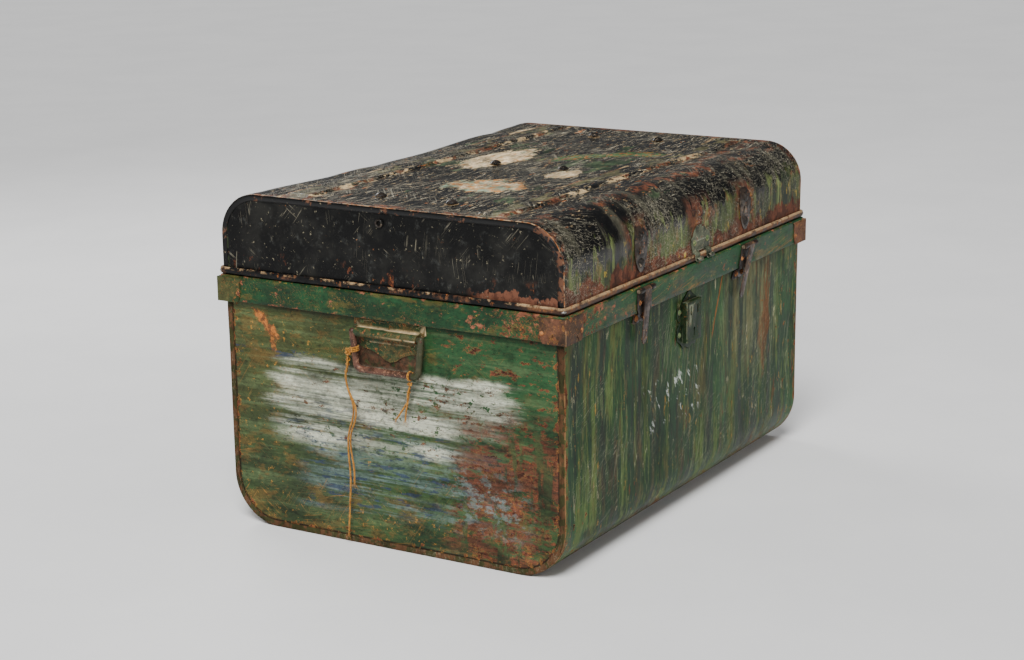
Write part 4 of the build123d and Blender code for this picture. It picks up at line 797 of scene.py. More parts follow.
def bead_paint():
    """Rolled rim: bronze rust and patches of black, with a painted highlight along its upper side and painted
    shade on its underside.
    """
    g = Graph("rolled_rim_rust", RUST, 0.5)
    grain = g.noise(60, 6, 0.72, seed=2)
    g.colour = g.mix(g.ramp(grain, 0.42, 0.58), (0.060, 0.026, 0.014), (0.20, 0.085, 0.035))
    left = g.ramp(g.x, -LID_X + 0.004, -LID_X)
    left = g.times(left, g.ramp(g.y, -LID_Y + 0.02, -LID_Y + 0.08))
    dark = g.times(g.blot(0.40, 0.48, 22, 6, 0.7, seed=4), g.either(left, 0.25))
    g.layer(dark, BLACK, 0.35)
    # painted highlight: a broken pale band along the upper side of the roll
    broken = g.plus(g.noise(50, 7, 0.75, seed=6), g.times(left, -0.13))
    worn = g.times(g.ramp(g.z, LID_BOTTOM + 0.0062, LID_BOTTOM + 0.0085), g.ramp(broken, 0.40, 0.48))
    g.layer(g.times(worn, 0.85), (0.38, 0.25, 0.13), 0.5)
    g.layer(g.blot(0.60, 0.64, 110, 6, 0.75, seed=8), RUST_ORANGE, 0.75)
    g.roughness = g.blend(g.ramp(grain, 0.4, 0.6), 0.42, 0.65)
    g.weathered(77, 0.55, 1.5, (1, 1, 1), 200, 20)
    # painted shade on the underside of the roll
    g.shade(g.ramp(g.z, LID_BOTTOM + 0.0045, LID_BOTTOM + 0.0020), 0.25)
    g.height = g.times(grain, 0.35)
    return g.finish(0.6)


def rusty_metal(name, dark, mid, bright, level, roughness, seed, metallic=0.0, edge=None, olive_below=None):
    """Unpainted small metalwork: dark and mid rust with a bright one above the level, rubbed edges,
    and old olive paint in front of olive_below."""
    g = Graph(name, dark, roughness, metallic)
    g.colour = g.mix(g.blot(0.42, 0.58, 60, 5, 0.7, seed=seed), dark, mid)
    hot = g.blot(level, level + 0.08, 150, 5, 0.7, seed=seed + 2)
    g.layer(hot, bright, roughness + 0.1, 0.05)
    if edge:
        g.layer(g.times(g.edges(), g.speck(90, 0.6, seed + 8), 0.8), edge, 0.45)
    if olive_below:
        painted = g.times(g.ramp(g.y, olive_below + 0.003, olive_below - 0.003),
                          g.speck(70, 0.75, seed + 9))
        g.layer(g.times(painted, 0.85), (0.034, 0.044, 0.020), 0.45)
    g.roughness = g.blend(g.blot(0.4, 0.6, 90, 4, 0.6, seed=seed + 4), roughness - 0.2, roughness + 0.1)
    g.bumps(0.3, 300, 4, 0.65, seed=seed + 6)
    return g.finish()


def inside_paint():
    """Brown-grey primer on the inner faces of the sheets."""
    g = Graph("inside_primer", (0.10, 0.085, 0.065), 0.62)
    g.colour = g.mix(g.blot(0.40, 0.62, 12, 5, 0.65, seed=3), (0.075, 0.066, 0.052), (0.14, 0.12, 0.09))
    chip(g, 40, 0.12, 7, (0.2, 0.17, 0.13))
    g.layer(g.times(g.speck(130, 0.1, 19), 0.6), RUST_ORANGE, 0.8)
    g.bumps(0.12, 60, 4, 0.6, seed=23)
    return g.finish()


def twine_fibre():
    """Orange plant fibre, streaked along the strand."""
    g = Graph("twine_fibre", (0.50, 0.21, 0.020), 0.72)
    hair = g.noise(1.0, 3, 0.6, (900, 900, 160), seed=2)
    g.colour = g.mix(g.ramp(hair, 0.35, 0.66), (0.16, 0.055, 0.006), (0.60, 0.27, 0.030))
    g.layer(g.times(g.speck(120, 0.2, 5), 0.5), (0.26, 0.12, 0.02), 0.8)
    g.height = g.times(hair, 0.12)
    g.shader.inputs["Sheen Weight"].default_value = 0.2
    return g.finish(0.5)


def floor_paint():
    """Pale studio floor, all but even."""
    g = Graph("floor_pale", (0.82, 0.815, 0.81), 0.7)
    g.colour = g.mix(g.blot(0.3, 0.7, 3, 4, 0.6), (0.80, 0.798, 0.795), (0.84, 0.836, 0.83))
    return g.finish()


HANDLE_OLIVE_Y = -0.045
PAINT = {
    "lid": lid_wrap_paint(),
    "lid_end": lid_end_paint(),
    "body": body_wrap_paint(),
    "body_end": body_end_paint(),
    "inside": inside_paint(),
    "collar": collar_paint(),
    "bead": bead_paint(),
    "bracket": worn_paint("bracket_green", (0.022, 0.048, 0.016), (0.060, 0.062, 0.022), OCHRE,
                          0.26, 0.55, 70, 15, (0.30, 0.13, 0.05)),
    "bracket_rusty": worn_paint("bracket_rust", (0.050, 0.028, 0.016), (0.13, 0.055, 0.030), OCHRE,
                                0.30, 0.6, 70, 16, (0.34, 0.20, 0.10)),
    "plate": worn_paint("handle_plate_green", (0.020, 0.050, 0.020), (0.085, 0.070, 0.026),
                        (0.34, 0.17, 0.05), 0.28, 0.5, 90, 21, (0.55, 0.42, 0.24)),
    "bar": rusty_metal("handle_bar_rust", (0.045, 0.024, 0.016), (0.115, 0.052, 0.034),
                       (0.27, 0.14, 0.085), 0.54, 0.45, 5, 0.0, (0.30, 0.17, 0.10), HANDLE_OLIVE_Y),
    "hasp": rusty_metal("hasp_dark_steel", (0.010, 0.008, 0.007), (0.032, 0.020, 0.013), RUST_ORANGE,
                        0.60, 0.50, 11, 0.0, (0.20, 0.15, 0.10)),
    "tongue": rusty_metal("tongue_brown", (0.020, 0.012, 0.009), (0.060, 0.036, 0.024),
                          (0.24, 0.12, 0.05), 0.57, 0.5, 17, 0.0, (0.22, 0.16, 0.11)),
    "rivet_rust": rusty_metal("rivet_orange", (0.075, 0.028, 0.014), (0.22, 0.075, 0.024),
                              (0.36, 0.15, 0.05), 0.5, 0.7, 23),
    "rivet_dark": rusty_metal("rivet_dark", (0.009, 0.008, 0.007), (0.026, 0.020, 0.016),
                              (0.22, 0.17, 0.12), 0.58, 0.42, 29),
    "rivet_green": worn_paint("rivet_green", GREEN, GREEN_PALE, CREAM, 0.2, 0.5, 200, 33, CREAM),
    "lock": worn_paint("lock_green", (0.007, 0.020, 0.007), (0.014, 0.032, 0.010), OCHRE,
                       0.10, 0.5, 110, 39, (0.20, 0.22, 0.14), 0.60),
    "crown": worn_paint("centre_hasp_worn", (0.020, 0.026, 0.016), (0.105, 0.115, 0.072),
                        (0.36, 0.34, 0.24), 0.24, 0.5, 110, 45, (0.50, 0.50, 0.37)),
    "steel": rusty_metal("bare_steel", STEEL, (0.24, 0.23, 0.21), (0.16, 0.08, 0.04),
                         0.6, 0.42, 35, 0.8),
    "twine": twine_fibre(),
}


# ---------------------------------------------------------------- mesh helpers

def add_object(name, mesh, material, body, stands_for=(), inside=None):
    """A piece that rides on a CAD body, or stage scenery where body is None."""
    obj = bpy.data.objects.new(name, mesh)
    bpy.context.scene.collection.objects.link(obj)
    mesh.materials.clear()
    mesh.materials.append(material)
    if inside:
        mesh.materials.append(inside)
    if body is None:
        return obj
    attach(obj, body)
    if stands_for:
        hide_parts(*stands_for)
    return obj


def smooth_by_angle(mesh, degrees):
    """Smooth shading, with the edges sharper than that kept sharp."""
    mesh.shade_smooth()
    made = bmesh.new()
    made.from_mesh(mesh)
    limit = math.radians(degrees)
    for edge in made.edges:
        if len(edge.link_faces) == 2 and edge.calc_face_angle(0) > limit:
            edge.smooth = False
    made.to_mesh(mesh)
    made.free()


def grid(name, rows, close_rows=False, close_columns=False):
    """Quads between rows of points. Every row has as many points."""
    across = len(rows[0])
    points = [p for row in rows for p in row]
    faces = []
    row_pairs = len(rows) if close_rows else len(rows) - 1
    column_pairs = across if close_columns else across - 1
    for i in range(row_pairs):
        a, b = i * across, (i + 1) % len(rows) * across
        for j in range(column_pairs):
            k = (j + 1) % across
            faces.append((a + j, a + k, b + k, b + j))
    mesh = bpy.data.meshes.new(name)
    mesh.from_pydata([tuple(p) for p in points], [], faces)
    mesh.update()
    return mesh


def outward(mesh):
    """Turns every face the same way, out of the closed shape, or up and out of an open sheet."""
    made = bmesh.new()
    made.from_mesh(mesh)
    bmesh.ops.recalc_face_normals(made, faces=made.faces)
    made.to_mesh(mesh)
    made.free()


def thicken(obj, thickness, inside=False):
    """Makes an open sheet solid, away from its normals."""
    solid = obj.modifiers.new("sheet", "SOLIDIFY")
    solid.thickness = thickness
    solid.offset = -1
    solid.use_even_offset = True
    if inside:
        solid.material_offset = 1


def outline(half, rim, flat, radius, counts):
    """Cross-section of a sheet bent over two corners, as (y, z) from the front rim to the back rim."""
    way = 1 if flat > rim else -1
    walls, arcs, flats = counts
    bend = flat - way * radius
    front = [(-half, rim + (bend - rim) * i / walls) for i in range(walls)]
    for i in range(arcs):
        angle = math.pi / 2 * i / arcs
        front.append((-half + radius - radius * math.cos(angle), bend + way * radius * math.sin(angle)))
    reach = half - radius
    middle = [(-reach + 2 * reach * i / flats, flat) for i in range(flats + 1)]
    back = [(-y, z) for y, z in reversed(front)]
    return front + middle + back


def stations(half, count, seam):
    """(x, inset) along a wrapped sheet whose ends fold in over the end panels."""
    bend = 2.2 * MM
    fold = [(half - 0.2 * MM, seam)]
    for i in range(6):
        angle = math.pi / 2 * i / 5
        fold.append((half - bend * (1 - math.cos(angle)), bend * (1 - math.sin(angle))))
    inner = half - bend
    straight = [(-inner + 2 * inner * i / count, 0.0) for i in range(1, count)]
    return [(-x, inset) for x, inset in fold] + straight + [(x, inset) for x, inset in reversed(fold)]


def wrap(name, half_x, half_y, rim, flat, radius, counts, count, shape):
    """The sheet that makes front, flat and back in one, with its folded ends, bent by shape(point)."""
    way = 1 if flat > rim else -1
    rows = []
    for x, inset in stations(half_x, count, SEAM):
        section = outline(half_y - inset, rim, flat - way * inset, radius - inset, counts)
        rows.append([shape(Vector((x, y, z))) for y, z in section])
    return grid(name, rows)


def panel(name, x, half_y, rim, flat, radius, counts, shape):
    """Flat end panel under a folded seam, made of columns between its two long edges."""
    across, up = counts
    way = 1 if flat > rim else -1
    rows = []
    for j in range(up + 1):
        row = []
        for i in range(across + 1):
            y = half_y * math.sin(math.pi / 2 * (2 * i / across - 1))
            over = max(0.0, abs(y) - (half_y - radius))
            end = flat - way * (radius - math.sqrt(max(0.0, radius ** 2 - over ** 2)))
            row.append(shape(Vector((x, y, rim + (end - rim) * j / up))))
        rows.append(row)
    return grid(name, rows)


def swell(value, low, high):
    """Smooth step from 0 at low to 1 at high."""
    t = min(1.0, max(0.0, (value - low) / (high - low)))
    return t * t * (3 - 2 * t)


def hill(dx, dy, rx, ry):
    """Bell shape, 1 in the middle."""
    return math.exp(-(dx / rx) ** 2 - (dy / ry) ** 2)


# ---------------------------------------------------------------- how the sheets are bent

def small_dents(seed, count, area, depth, size):
    """Random dents as (first place, second place, size, depth)."""
    rng = random.Random(seed)
    made = []
    for _ in range(count):
        made.append((rng.uniform(*area[0]), rng.uniform(*area[1]), rng.uniform(*size), rng.uniform(*depth)))
    return made


# Small dents over the top by (x, y), an end panel by (y, z) and the front by (x, z)
TOP_DENTS = small_dents(4, 46, ((-0.36, 0.36), (-0.24, 0.26)), (0.0004, 0.0016), (0.014, 0.045))
END_DENTS = small_dents(9, 26, ((-0.25, 0.25), (0.03, 0.33)), (0.0003, 0.0012), (0.018, 0.05))
FRONT_DENTS = small_dents(14, 30, ((-0.36, 0.36), (0.03, 0.33)), (0.0002, 0.0009), (0.02, 0.06))
# Broad sags of the lid's top, as (x, y, half length, half width, depth)
LID_SAGS = ((0.04, 0.27, 0.16, 0.07, 0.0075), (-0.20, 0.24, 0.09, 0.05, 0.003),
            (0.24, -0.16, 0.13, 0.10, 0.0040),
            (-0.05, 0.02, 0.22, 0.10, 0.0020), (-0.27, -0.20, 0.07, 0.05, 0.0018))


def rib_rise(x, y):
    """How far the two pressed ribs stand over the top."""
    across = min(swell(abs(y), RIB_Y - RIB_WIDTH / 2, RIB_Y - RIB_WIDTH / 2 + 0.006),
                 1 - swell(abs(y), RIB_Y + RIB_WIDTH / 2 - 0.006, RIB_Y + RIB_WIDTH / 2))
    return RIB_HEIGHT * across * (1 - swell(abs(x), LID_X - 0.026, LID_X - 0.019))


def top_drop(x, y):
    """How far the top has sunk at a place."""
    drop = sum(depth * hill(x - cx, y - cy, rx, ry) for cx, cy, rx, ry, depth in LID_SAGS)
    drop += sum(depth * hill(x - cx, y - cy, r, r) for cx, cy, r, depth in TOP_DENTS)
    drop += 0.0012 * (0.5 + 0.5 * noise.noise(Vector((x * 7, y * 9, 3.3))))
    return drop * (1 - swell(abs(x), 0.345, 0.378))


def lid_shape(p):
    """A point of the true lid moved to where the worn lid has it."""
    up = swell(p.z, LID_TOP - LID_RADIUS, LID_TOP - 0.004)
    p.z += (rib_rise(p.x, p.y) - top_drop(p.x, p.y)) * up
    ripple = noise.noise(Vector((p.x * 9, p.y * 6, p.z * 14)))
    inward = 0.0005 * (1 + ripple)
    if abs(p.y) > LID_Y - 0.03:
        p.y -= math.copysign(inward, p.y)
    if abs(p.x) > LID_X - 0.005:
        p.x -= math.copysign(0.0011 * (1 + noise.noise(Vector((p.y * 8, p.z * 15, 5.0)))), p.x)
    return p


def body_shape(p):
    """A point of the true body moved to where the dented body has it."""
    side = swell(BODY_RIM - p.z, 0.06, 0.12)
    if abs(p.x) > BODY_X - 0.004:
        drop = sum(depth * hill(p.y - cy, p.z - cz, r, r) for cy, cz, r, depth in END_DENTS)
        drop += 0.0010 * (1 + noise.noise(Vector((p.y * 6, p.z * 7, 2.0 + p.x))))
        p.x -= math.copysign(drop * side, p.x)
    if abs(p.y) > BODY_Y - 0.006:
        drop = sum(depth * hill(p.x - cx, p.z - cz, r, r) for cx, cz, r, depth in FRONT_DENTS)
        drop += 0.0009 * (1 + noise.noise(Vector((p.x * 5, p.z * 7, 7.0 + p.y))))
        p.y -= math.copysign(drop * side * (1 - swell(abs(p.x), 0.36, 0.383)), p.y)
    return p


# ---------------------------------------------------------------- sheets of the body and lid

def build_sheets():
    """The wrapped sheets and end panels of body and lid."""
    lid = wrap("lid_sheet", LID_X, LID_Y, LID_BOTTOM + 0.002, LID_TOP, LID_RADIUS, (18, 16, 190),
               250, lid_shape)
    body = wrap("body_sheet", BODY_X, BODY_Y, BODY_RIM, 0.0, BODY_RADIUS, (60, 18, 60), 150, body_shape)
    for mesh, name, ride, node, slot in ((lid, "lid_sheet", "lid", "lid_wrap", "lid_sheet"),
                                         (body, "body_sheet", "case", "body_wrap", "body_sheet")):
        outward(mesh)
        smooth_by_angle(mesh, 50)
        paint = PAINT["lid" if ride == "lid" else "body"]
        obj = add_object(name, mesh, paint, ride, (node,), PAINT["inside"])
        thicken(obj, SHEET, True)
    for side, sign in (("left", LEFT), ("right", RIGHT)):
        under = 1.2 * MM
        lid_end = panel("lid_panel_" + side, sign * (LID_X - under), LID_Y - SHEET, LID_BOTTOM + 0.001,
                        LID_TOP - SHEET, LID_RADIUS - SHEET, (110, 26), lid_shape)
        body_end = panel("body_panel_" + side, sign * (BODY_X - under), BODY_Y - SHEET, BODY_RIM,
                         SHEET, BODY_RADIUS - SHEET, (110, 90), body_shape)
        for mesh, ride, node, slot in ((lid_end, "lid", "lid_end_", "lid_sheet"),
                                       (body_end, "case", "body_end_", "body_sheet")):
            mesh.shade_smooth()
            face_out(mesh, sign)
            paint = PAINT["lid_end" if ride == "lid" else "body_end"]
            obj = add_object(mesh.name, mesh, paint, ride, (node + side,), PAINT["inside"])
            thicken(obj, SHEET, True)


def face_out(mesh, sign):
    """Turns an end panel's faces towards -X or +X."""
    if mesh.polygons[0].normal.x * sign < 0:
        mesh.flip_normals()


def corner_path(half_x, half_y, radius, z, step=0.006, lift=lambda x, y: 0.0):
    """Closed path round a rectangle with rounded corners, as (point, outward direction)."""
    path = []
    corners = [(half_x - radius, -half_y + radius, -90), (half_x - radius, half_y - radius, 0),
               (-half_x + radius, half_y - radius, 90), (-half_x + radius, -half_y + radius, 180)]
    for k, (cx, cy, first) in enumerate(corners):
        for i in range(9):
            angle = math.radians(first + 90 * i / 8)
            way = Vector((math.cos(angle), math.sin(angle), 0))
            path.append((Vector((cx, cy, z)) + way * radius, way))
        nx, ny, _ = corners[(k + 1) % 4]
        way = Vector((math.cos(math.radians(first + 90)), math.sin(math.radians(first + 90)), 0))
        start = path[-1][0]
        end = Vector((nx, ny, z)) + way * radius
        count = int((end - start).length / step)
        path += [(start.lerp(end, i / count), way) for i in range(1, count)]
    return [(p + Vector((0, 0, lift(p.x, p.y))), way) for p, way in path]


def bead_lift(x, y):
    """The rim's slight waves, upwards only."""
    return 0.0007 * (1 + noise.noise(Vector((x * 8, y * 8, 1.0))))


def build_bead():
    """The rolled rim of the lid: a flattened roll with its curled lower edge."""
    section = []
    for i in range(20):
        angle = 2 * math.pi * i / 20
        out = 0.5 * BEAD_PROUD * (1 + math.copysign(abs(math.cos(angle)) ** 0.8, math.cos(angle)))
        up = 0.5 * BEAD_HEIGHT * math.copysign(abs(math.sin(angle)) ** 0.8, math.sin(angle))
        section.append((out - 0.3 * MM, up * 0.96))
    rows = []
    for point, way in corner_path(LID_X, LID_Y, 0.004, LID_BOTTOM + BEAD_HEIGHT / 2, lift=bead_lift):
        wobble = 1 + 0.10 * noise.noise(point * 55)
        rows.append([point + way * out * wobble + Vector((0, 0, up)) for out, up in section])
    mesh = grid("lid_bead", rows, True, True)
    outward(mesh)
    mesh.shade_smooth()
    add_object("lid_bead", mesh, PAINT["bead"], "lid", ())


def build_collar():
    """The rolled steel channel round the top of the body."""
    height = COLLAR_TOP - COLLAR_BOTTOM
    proud = COLLAR_X - BODY_X
    bend = 3 * MM
    section = [(proud - 0.5 * MM, 0.0), (proud, 0.6 * MM)]
    section += [(proud, height * i / 8) for i in range(1, 8)]
    section += [(proud - bend + bend * math.cos(a), height - bend + bend * math.sin(a))
                for a in (math.pi / 2 * i / 5 for i in range(6))]
    section += [(1.2 * MM, height), (0.3 * MM, height - 0.5 * MM), (0.3 * MM, height - 18 * MM)]
    rows = []
    for point, way in corner_path(BODY_X, BODY_Y, 0.0015, COLLAR_BOTTOM, 0.008):
        row = []
        for out, up in section:
            wave = noise.noise(Vector((point.x * 7, point.y * 7, up * 20)))
            keep = swell(out, 0.3 * proud, proud)
            loose = swell(up, height, 0.3 * height)
            row.append(point + way * (out - 0.0006 * (1 + wave) * keep * loose) + Vector((0, 0, up)))
        rows.append(row)
    mesh = grid("collar", rows, True)
    outward(mesh)
    smooth_by_angle(mesh, 50)
    obj = add_object("collar", mesh, PAINT["collar"], "case",
                     ["collar_" + side for side in ("front", "back", "left", "right")])
    thicken(obj, 1.1 * MM)


# ---------------------------------------------------------------- fittings kept in the CAD's shape

def clean_copy(node):
    """A CAD node's mesh joined up again, with flat faces whole."""
    made = bmesh.new()
    made.from_mesh(NODES[node].data)
    bmesh.ops.remove_doubles(made, verts=made.verts, dist=2e-6)
    bmesh.ops.dissolve_limit(made, angle_limit=math.radians(1.0), verts=made.verts, edges=made.edges)
    mesh = bpy.data.meshes.new(node)
    made.to_mesh(mesh)
    made.free()
    return mesh


def soften(node, name, paint):
    """A fitting with worn edges instead of the CAD's sharp ones."""
    mesh = clean_copy(node)
    mesh.shade_smooth()
    obj = add_object(name, mesh, PAINT[paint], NODES[node]["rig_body"], (node,))
    edge = obj.modifiers.new("worn_edges", "BEVEL")
    edge.width = EDGE_WEAR
    edge.segments = 3
    edge.limit_method = "ANGLE"
    edge.angle_limit = math.radians(35)
    edge.harden_normals = True
    return obj


# Node, paint and slot of each fitting that comes left and right
FITTINGS = (
    ("corner_bracket_front_{side}", "bracket_rusty", "bracket_sheet"),
    ("corner_bracket_back_{side}", "bracket", "bracket_sheet"),
    ("handle_plate_{side}", "plate", "handle_sheet"),
    ("hasp_base_{side}", "hasp", "dark_hardware"),
    ("tongue_{side}", "tongue", "dark_hardware"),
    ("catch_plate_{side}", "hasp", "dark_hardware"),
    ("hinge_leaf_body_{side}", "bracket", "hinge_sheet"),
    ("hinge_leaf_lid_{side}", "bracket", "hinge_sheet"),
)
# Paint of each CAD node that is shown as it is
NODE_PAINT = {
    "bail_left": "bar", "bail_right": "bar", "hasp_pin_left": "hasp", "hasp_pin_right": "hasp",
    "hinge_pin_left": "steel", "hinge_pin_right": "steel", "lock_bolt": "steel", "lock_studs": "steel",
    "lock_spring": "steel", "lid_rim_wire": "steel", "bracket_rivets": "rivet_rust",
    "handle_rivets_left": "rivet_green", "handle_rivets_right": "rivet_green",
    "hasp_rivets_left": "rivet_rust", "hasp_rivets_right": "rivet_rust", "catch_rivets_left": "rivet_dark",
    "catch_rivets_right": "rivet_dark", "lock_rivets": "rivet_green", "centre_hasp_rivets": "rivet_green",
    "lid_studs": "rivet_dark", "lid_eyelet": "rivet_dark", "hinge_rivets_body": "rivet_rust",
    "hinge_rivets_lid": "rivet_rust",
}


def build_fittings():
    """Softened fittings, and the paint of the nodes shown as they are."""
    for pattern, paint, slot in FITTINGS:
        for side in ("left", "right"):
            node = pattern.format(side=side)
            soften(node, node + "_worn", paint)
    soften("lock_plate", "lock_plate_worn", "lock")
    soften("lock_case", "lock_case_worn", "lock")
    soften("centre_hasp_plate", "centre_hasp_plate_worn", "crown")
    for node, paint in NODE_PAINT.items():
        mesh = NODES[node].data
        mesh.materials.clear()
        mesh.materials.append(PAINT[paint])
        mesh.shade_smooth()


# ---------------------------------------------------------------- twine

TWINE_RADIUS = 1.4 * MM
ROPE_PLIES = 3
ROPE_PITCH = 8 * MM
ROPE_STEP = 0.9 * MM
LONG_TAIL = [(-0.3946, 0.0594, 0.2794), (-0.3936, 0.0612, 0.2660), (-0.3924, 0.0678, 0.2500),
             (-0.3915, 0.0650, 0.2290), (-0.3905, 0.0555, 0.2070), (-0.3900, 0.0585, 0.1860),
             (-0.3900, 0.0675, 0.1640), (-0.3905, 0.0680, 0.1340), (-0.3900, 0.0650, 0.1040),
             (-0.3895, 0.0670, 0.0740), (-0.3900, 0.0695, 0.0430), (-0.3896, 0.0716, 0.0135)]
SHORT_TAIL = [(-0.3982, 0.0585, 0.2792), (-0.3978, 0.0593, 0.2665), (-0.3962, 0.0653, 0.2510),
              (-0.3953, 0.0615, 0.2300), (-0.3940, 0.0490, 0.2055), (-0.3936, 0.0515, 0.1860),
              (-0.3936, 0.0620, 0.1640), (-0.3938, 0.0605, 0.1370), (-0.3935, 0.0555, 0.1140),
              (-0.3933, 0.0568, 0.0940)]
FORK_INNER = [(-0.3918, -0.0410, 0.2468), (-0.3913, -0.0375, 0.2380), (-0.3920, -0.0378, 0.2265),
              (-0.3915, -0.0295, 0.2155), (-0.3910, -0.0225, 0.2055), (-0.3905, -0.0158, 0.1968)]
FORK_OUTER = [(-0.3947, -0.0420, 0.2469), (-0.3952, -0.0380, 0.2375), (-0.3954, -0.0390, 0.2250),
              (-0.3946, -0.0345, 0.2120), (-0.3940, -0.0332, 0.1985)]


# Where the twine is tied to the left handle
ARM_LUMP = (-0.3965, 0.0581, 0.2840)
ARM_SLEEVE = (-0.3925, 0.0502, 0.2902)
ARM_WAY = (0, 0.11, 1)
ARM_RING = 6.1 * MM
BAR_TURNS = (-0.3925, -0.0415, 0.2620)
BAR_LUMP = (-0.3931, -0.0415, 0.2508)
BAR_RING = 6.0 * MM


def line_through(name, points):
    """Evenly read points of the smooth line that the route's points control."""
    data = bpy.data.curves.new(name + "_line", "CURVE")
    data.dimensions = "3D"
    data.resolution_u = 24
    spline = data.splines.new("NURBS")
    spline.points.add(len(points) - 1)
    for point, place in zip(spline.points, points):
        point.co = (*place, 1)
    spline.order_u = 3
    spline.use_endpoint_u = True
    obj = bpy.data.objects.new(name + "_line", data)
    bpy.context.scene.collection.objects.link(obj)
    bpy.context.view_layer.update()
    mesh = bpy.data.meshes.new_from_object(obj.evaluated_get(bpy.context.evaluated_depsgraph_get()))
    line = [v.co.copy() for v in mesh.vertices]
    bpy.data.objects.remove(obj)
    bpy.data.meshes.remove(mesh)
    return line


def resample(line, step):
    """The same line with its points a step apart."""
    out, left = [line[0].copy()], step
    for a, b in zip(line, line[1:]):
        run = (b - a).length
        at = left
        while at <= run:
            out.append(a.lerp(b, at / run))
            at += step
        left = at - run
    if (out[-1] - line[-1]).length > step * 0.3:
        out.append(line[-1].copy())
    return out


def framed(line):
    """(point, side, up) along a line, with no sudden turn of the two directions."""
    tangent = (line[1] - line[0]).normalized()
    side = tangent.orthogonal().normalized()
    made = []
    for i, point in enumerate(line):
        nearby = line[min(i + 1, len(line) - 1)] - line[max(i - 1, 0)]
        tangent = nearby.normalized()
        side = (side - tangent * side.dot(tangent)).normalized()
        made.append((point, side, tangent.cross(side)))
    return made


def add_tube(made, line, radius, sides, taper=lambda t: 1.0):
    """A closed tube along a line, added to a bmesh."""
    angles = [2 * math.pi * k / sides for k in range(sides)]
    rings = []
    for i, (point, side, up) in enumerate(framed(line)):
        r = radius * taper(i / (len(line) - 1))
        rings.append([made.verts.new(point + side * r * math.cos(a) + up * r * math.sin(a)) for a in angles])
    for a, b in zip(rings, rings[1:]):
        for k in range(sides):
            made.faces.new((a[k], a[(k + 1) % sides], b[(k + 1) % sides], b[k]))
    made.faces.new(list(reversed(rings[0])))
    made.faces.new(rings[-1])


def add_rope(made, line, radius):
    """Plies twisted together along a line."""
    frames = framed(resample(line, ROPE_STEP))
    ply = radius * 0.56
    for k in range(ROPE_PLIES):
        strand = []
        for i, (point, side, up) in enumerate(frames):
            angle = 2 * math.pi * (k / ROPE_PLIES + i * ROPE_STEP / ROPE_PITCH)
            off = radius * (0.44 + 0.05 * math.sin(i * 0.7 + k))
            strand.append(point + (side * math.cos(angle) + up * math.sin(angle)) * off)
        add_tube(made, strand, ply, 7)


def add_fuzz(made, line, rng, count, length):
    """Short loose fibres standing off the twine."""
    line = resample(line, 1.0 * MM)
    frames = framed(line)
    for _ in range(count):
        point, side, up = frames[rng.randrange(1, len(frames) - 1)]
        angle = rng.uniform(0, 2 * math.pi)
        out = side * math.cos(angle) + up * math.sin(angle)
        if out.x > 0.2:
            out.x = -out.x
        along = side.cross(up) * rng.choice((-1, 1))
        reach = rng.uniform(0.4, 1.0) * length
        start = point + out * TWINE_RADIUS * 0.8
        fibre = [start + out * reach * t * 0.8 + along * reach * (t - 0.5 * t * t) for t in (0, 0.35, 0.7, 1)]
        add_tube(made, fibre, 0.09 * MM, 3, lambda t: 1 - 0.7 * t)


def add_fray(made, line, rng, count, length):
    """The open end of the twine, as loose fibres spreading from its last point."""
    tip = line[-1]
    tangent = (line[-1] - line[-4]).normalized()
    side = tangent.orthogonal().normalized()
    up = tangent.cross(side)
    for _ in range(count):
        angle = rng.uniform(0, 2 * math.pi)
        spread = rng.uniform(0.1, 0.75)
        out = side * math.cos(angle) + up * math.sin(angle)
        if out.x > 0.1:
            out.x *= -0.4
        reach = length * rng.uniform(0.4, 1.0)
        start = tip - tangent * 1.5 * MM + out * TWINE_RADIUS * 0.5
        curl = Vector((0, rng.uniform(-0.5, 0.5), 0)) * reach
        fibre = [start + tangent * reach * t + out * reach * spread * t * t + curl * t ** 3
                 for t in (0, 0.25, 0.5, 0.75, 1)]
        add_tube(made, fibre, 0.16 * MM, 4, lambda t: 1 - 0.6 * t)


def finish_mesh(name, made, body, stands_for):
    """The twine piece that a bmesh holds."""
    mesh = bpy.data.meshes.new(name)
    made.to_mesh(mesh)
    made.free()
    mesh.shade_smooth()
    return add_object(name, mesh, PAINT["twine"], body, stands_for)


def build_tail(name, points, body, rng, fray, fuzz, lumps=()):
    """One hanging strand with its loose fibres, and knots at the given distances down it."""
    line = line_through(name, points)
    rope = bmesh.new()
    add_rope(rope, line, TWINE_RADIUS)
    tail = finish_mesh(name + "_twine", rope, body, (name,))
    loose = bmesh.new()
    add_fuzz(loose, line, rng, fuzz, 5 * MM)
    add_fray(loose, line, rng, fray, 11 * MM)
    for down, size in lumps:
        place = min(line, key=lambda point: abs(line[0][2] - down - point[2]))
        add_rope(loose, knot_line(place, size, 2, 3), 1.1 * MM)
    fibres = finish_mesh(name + "_fibres", loose, body, ())


def knot_line(centre, size, turns=2, lobes=3):
    """A torus knot's closed line, squeezed to a lump that is flatter along X."""
    squeeze = 0.7
    count = 120
    line = []
    for i in range(count + 1):
        t = 2 * math.pi * i / count
        r = size * (0.62 + 0.30 * math.cos(lobes * t))
        p = Vector((r * math.cos(turns * t) * squeeze, r * math.sin(turns * t),
                    size * 0.5 * math.sin(lobes * t)))
        line.append(Vector(centre) + p)
    return line


def ring_line(centre, axis, radius, rise, turns):
    """Turns round an axis, rising evenly."""
    count = 40
    axis = Vector(axis).normalized()
    side = axis.orthogonal().normalized()
    up = axis.cross(side)
    line = []
    for i in range(int(count * turns) + 1):
        a = 2 * math.pi * i / count
        line.append(Vector(centre) + (side * math.cos(a) + up * math.sin(a)) * radius
                    + axis * rise * i / (count * turns))
    return line


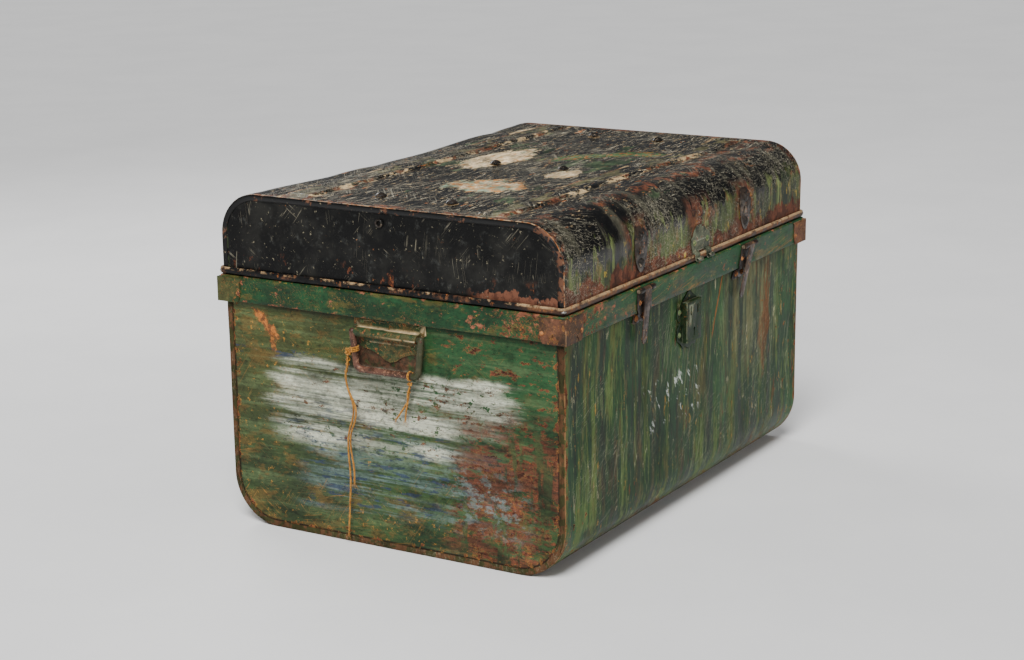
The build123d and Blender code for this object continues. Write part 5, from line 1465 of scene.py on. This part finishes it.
def build_knots():
    """The lump and turns on the handle's arm, and the smaller one on its bar."""
    lump = Vector(ARM_LUMP)
    sleeve = Vector(ARM_SLEEVE)
    made = bmesh.new()
    add_rope(made, ring_line(sleeve - Vector((0, 0.0004, 0.0040)), ARM_WAY, ARM_RING, 8.0 * MM,
                             3.1), 1.2 * MM)
    add_rope(made, knot_line(lump, 4.6 * MM, 2, 3), 1.45 * MM)
    add_rope(made, knot_line(lump + Vector((0, 0.0008, 0.0045)), 3.2 * MM, 3, 2), 1.3 * MM)
    rng = random.Random(31)
    add_fuzz(made, knot_line(lump, 5.0 * MM), rng, 26, 5 * MM)
    for _ in range(16):
        start = lump + Vector((rng.uniform(-3, 0) * MM, rng.uniform(-2, 3) * MM, rng.uniform(2, 6) * MM))
        out = Vector((-0.25, rng.uniform(-0.9, 0.9), rng.uniform(0.1, 1.0))).normalized()
        reach = rng.uniform(5, 11) * MM
        sag = Vector((0, 0, -0.5 * reach))
        fibre = [start + out * reach * t + sag * t * t for t in (0, 0.3, 0.65, 1)]
        add_tube(made, fibre, 0.2 * MM, 4, lambda t: 1 - 0.6 * t)
    finish_mesh("knot_on_arm", made, "bail_left", ("twine_knot_arm",))

    made = bmesh.new()
    bar = Vector(BAR_TURNS)
    add_rope(made, ring_line(bar - Vector((0, 0.0012, 0)), (0, 1, 0), BAR_RING, 2.4 * MM, 2.0), 1.15 * MM)
    add_rope(made, knot_line(BAR_LUMP, 3.5 * MM), 1.2 * MM)
    add_fuzz(made, knot_line(BAR_LUMP, 4.0 * MM), rng, 16, 4 * MM)
    finish_mesh("knot_on_bar", made, "twine_bar", ("twine_knot_bar",))


def build_twine():
    """The four hanging strands and the knots they hang from."""
    rng = random.Random(17)
    build_tail("twine_long", LONG_TAIL, "twine_arm", rng, 14, 60,
               ((6 * MM, 3.4 * MM), (13 * MM, 2.6 * MM), (24 * MM, 2.2 * MM)))
    build_tail("twine_short", SHORT_TAIL, "twine_arm", rng, 26, 44)
    build_tail("twine_fork_inner", FORK_INNER, "twine_bar", rng, 14, 14, ((8 * MM, 2.2 * MM),))
    build_tail("twine_fork_outer", FORK_OUTER, "twine_bar", rng, 14, 12)
    build_knots()


def build_floor():
    """A level floor that reaches past the picture's edges."""
    steps = (-FLOOR_REACH, 0, FLOOR_REACH)
    mesh = grid("floor", [[(x, y, 0) for x in steps] for y in steps])
    add_object("floor", mesh, floor_paint(), None)


add_camera()
build_twine()
build_sheets()
build_bead()
build_collar()
build_fittings()
build_floor()
add_studio()
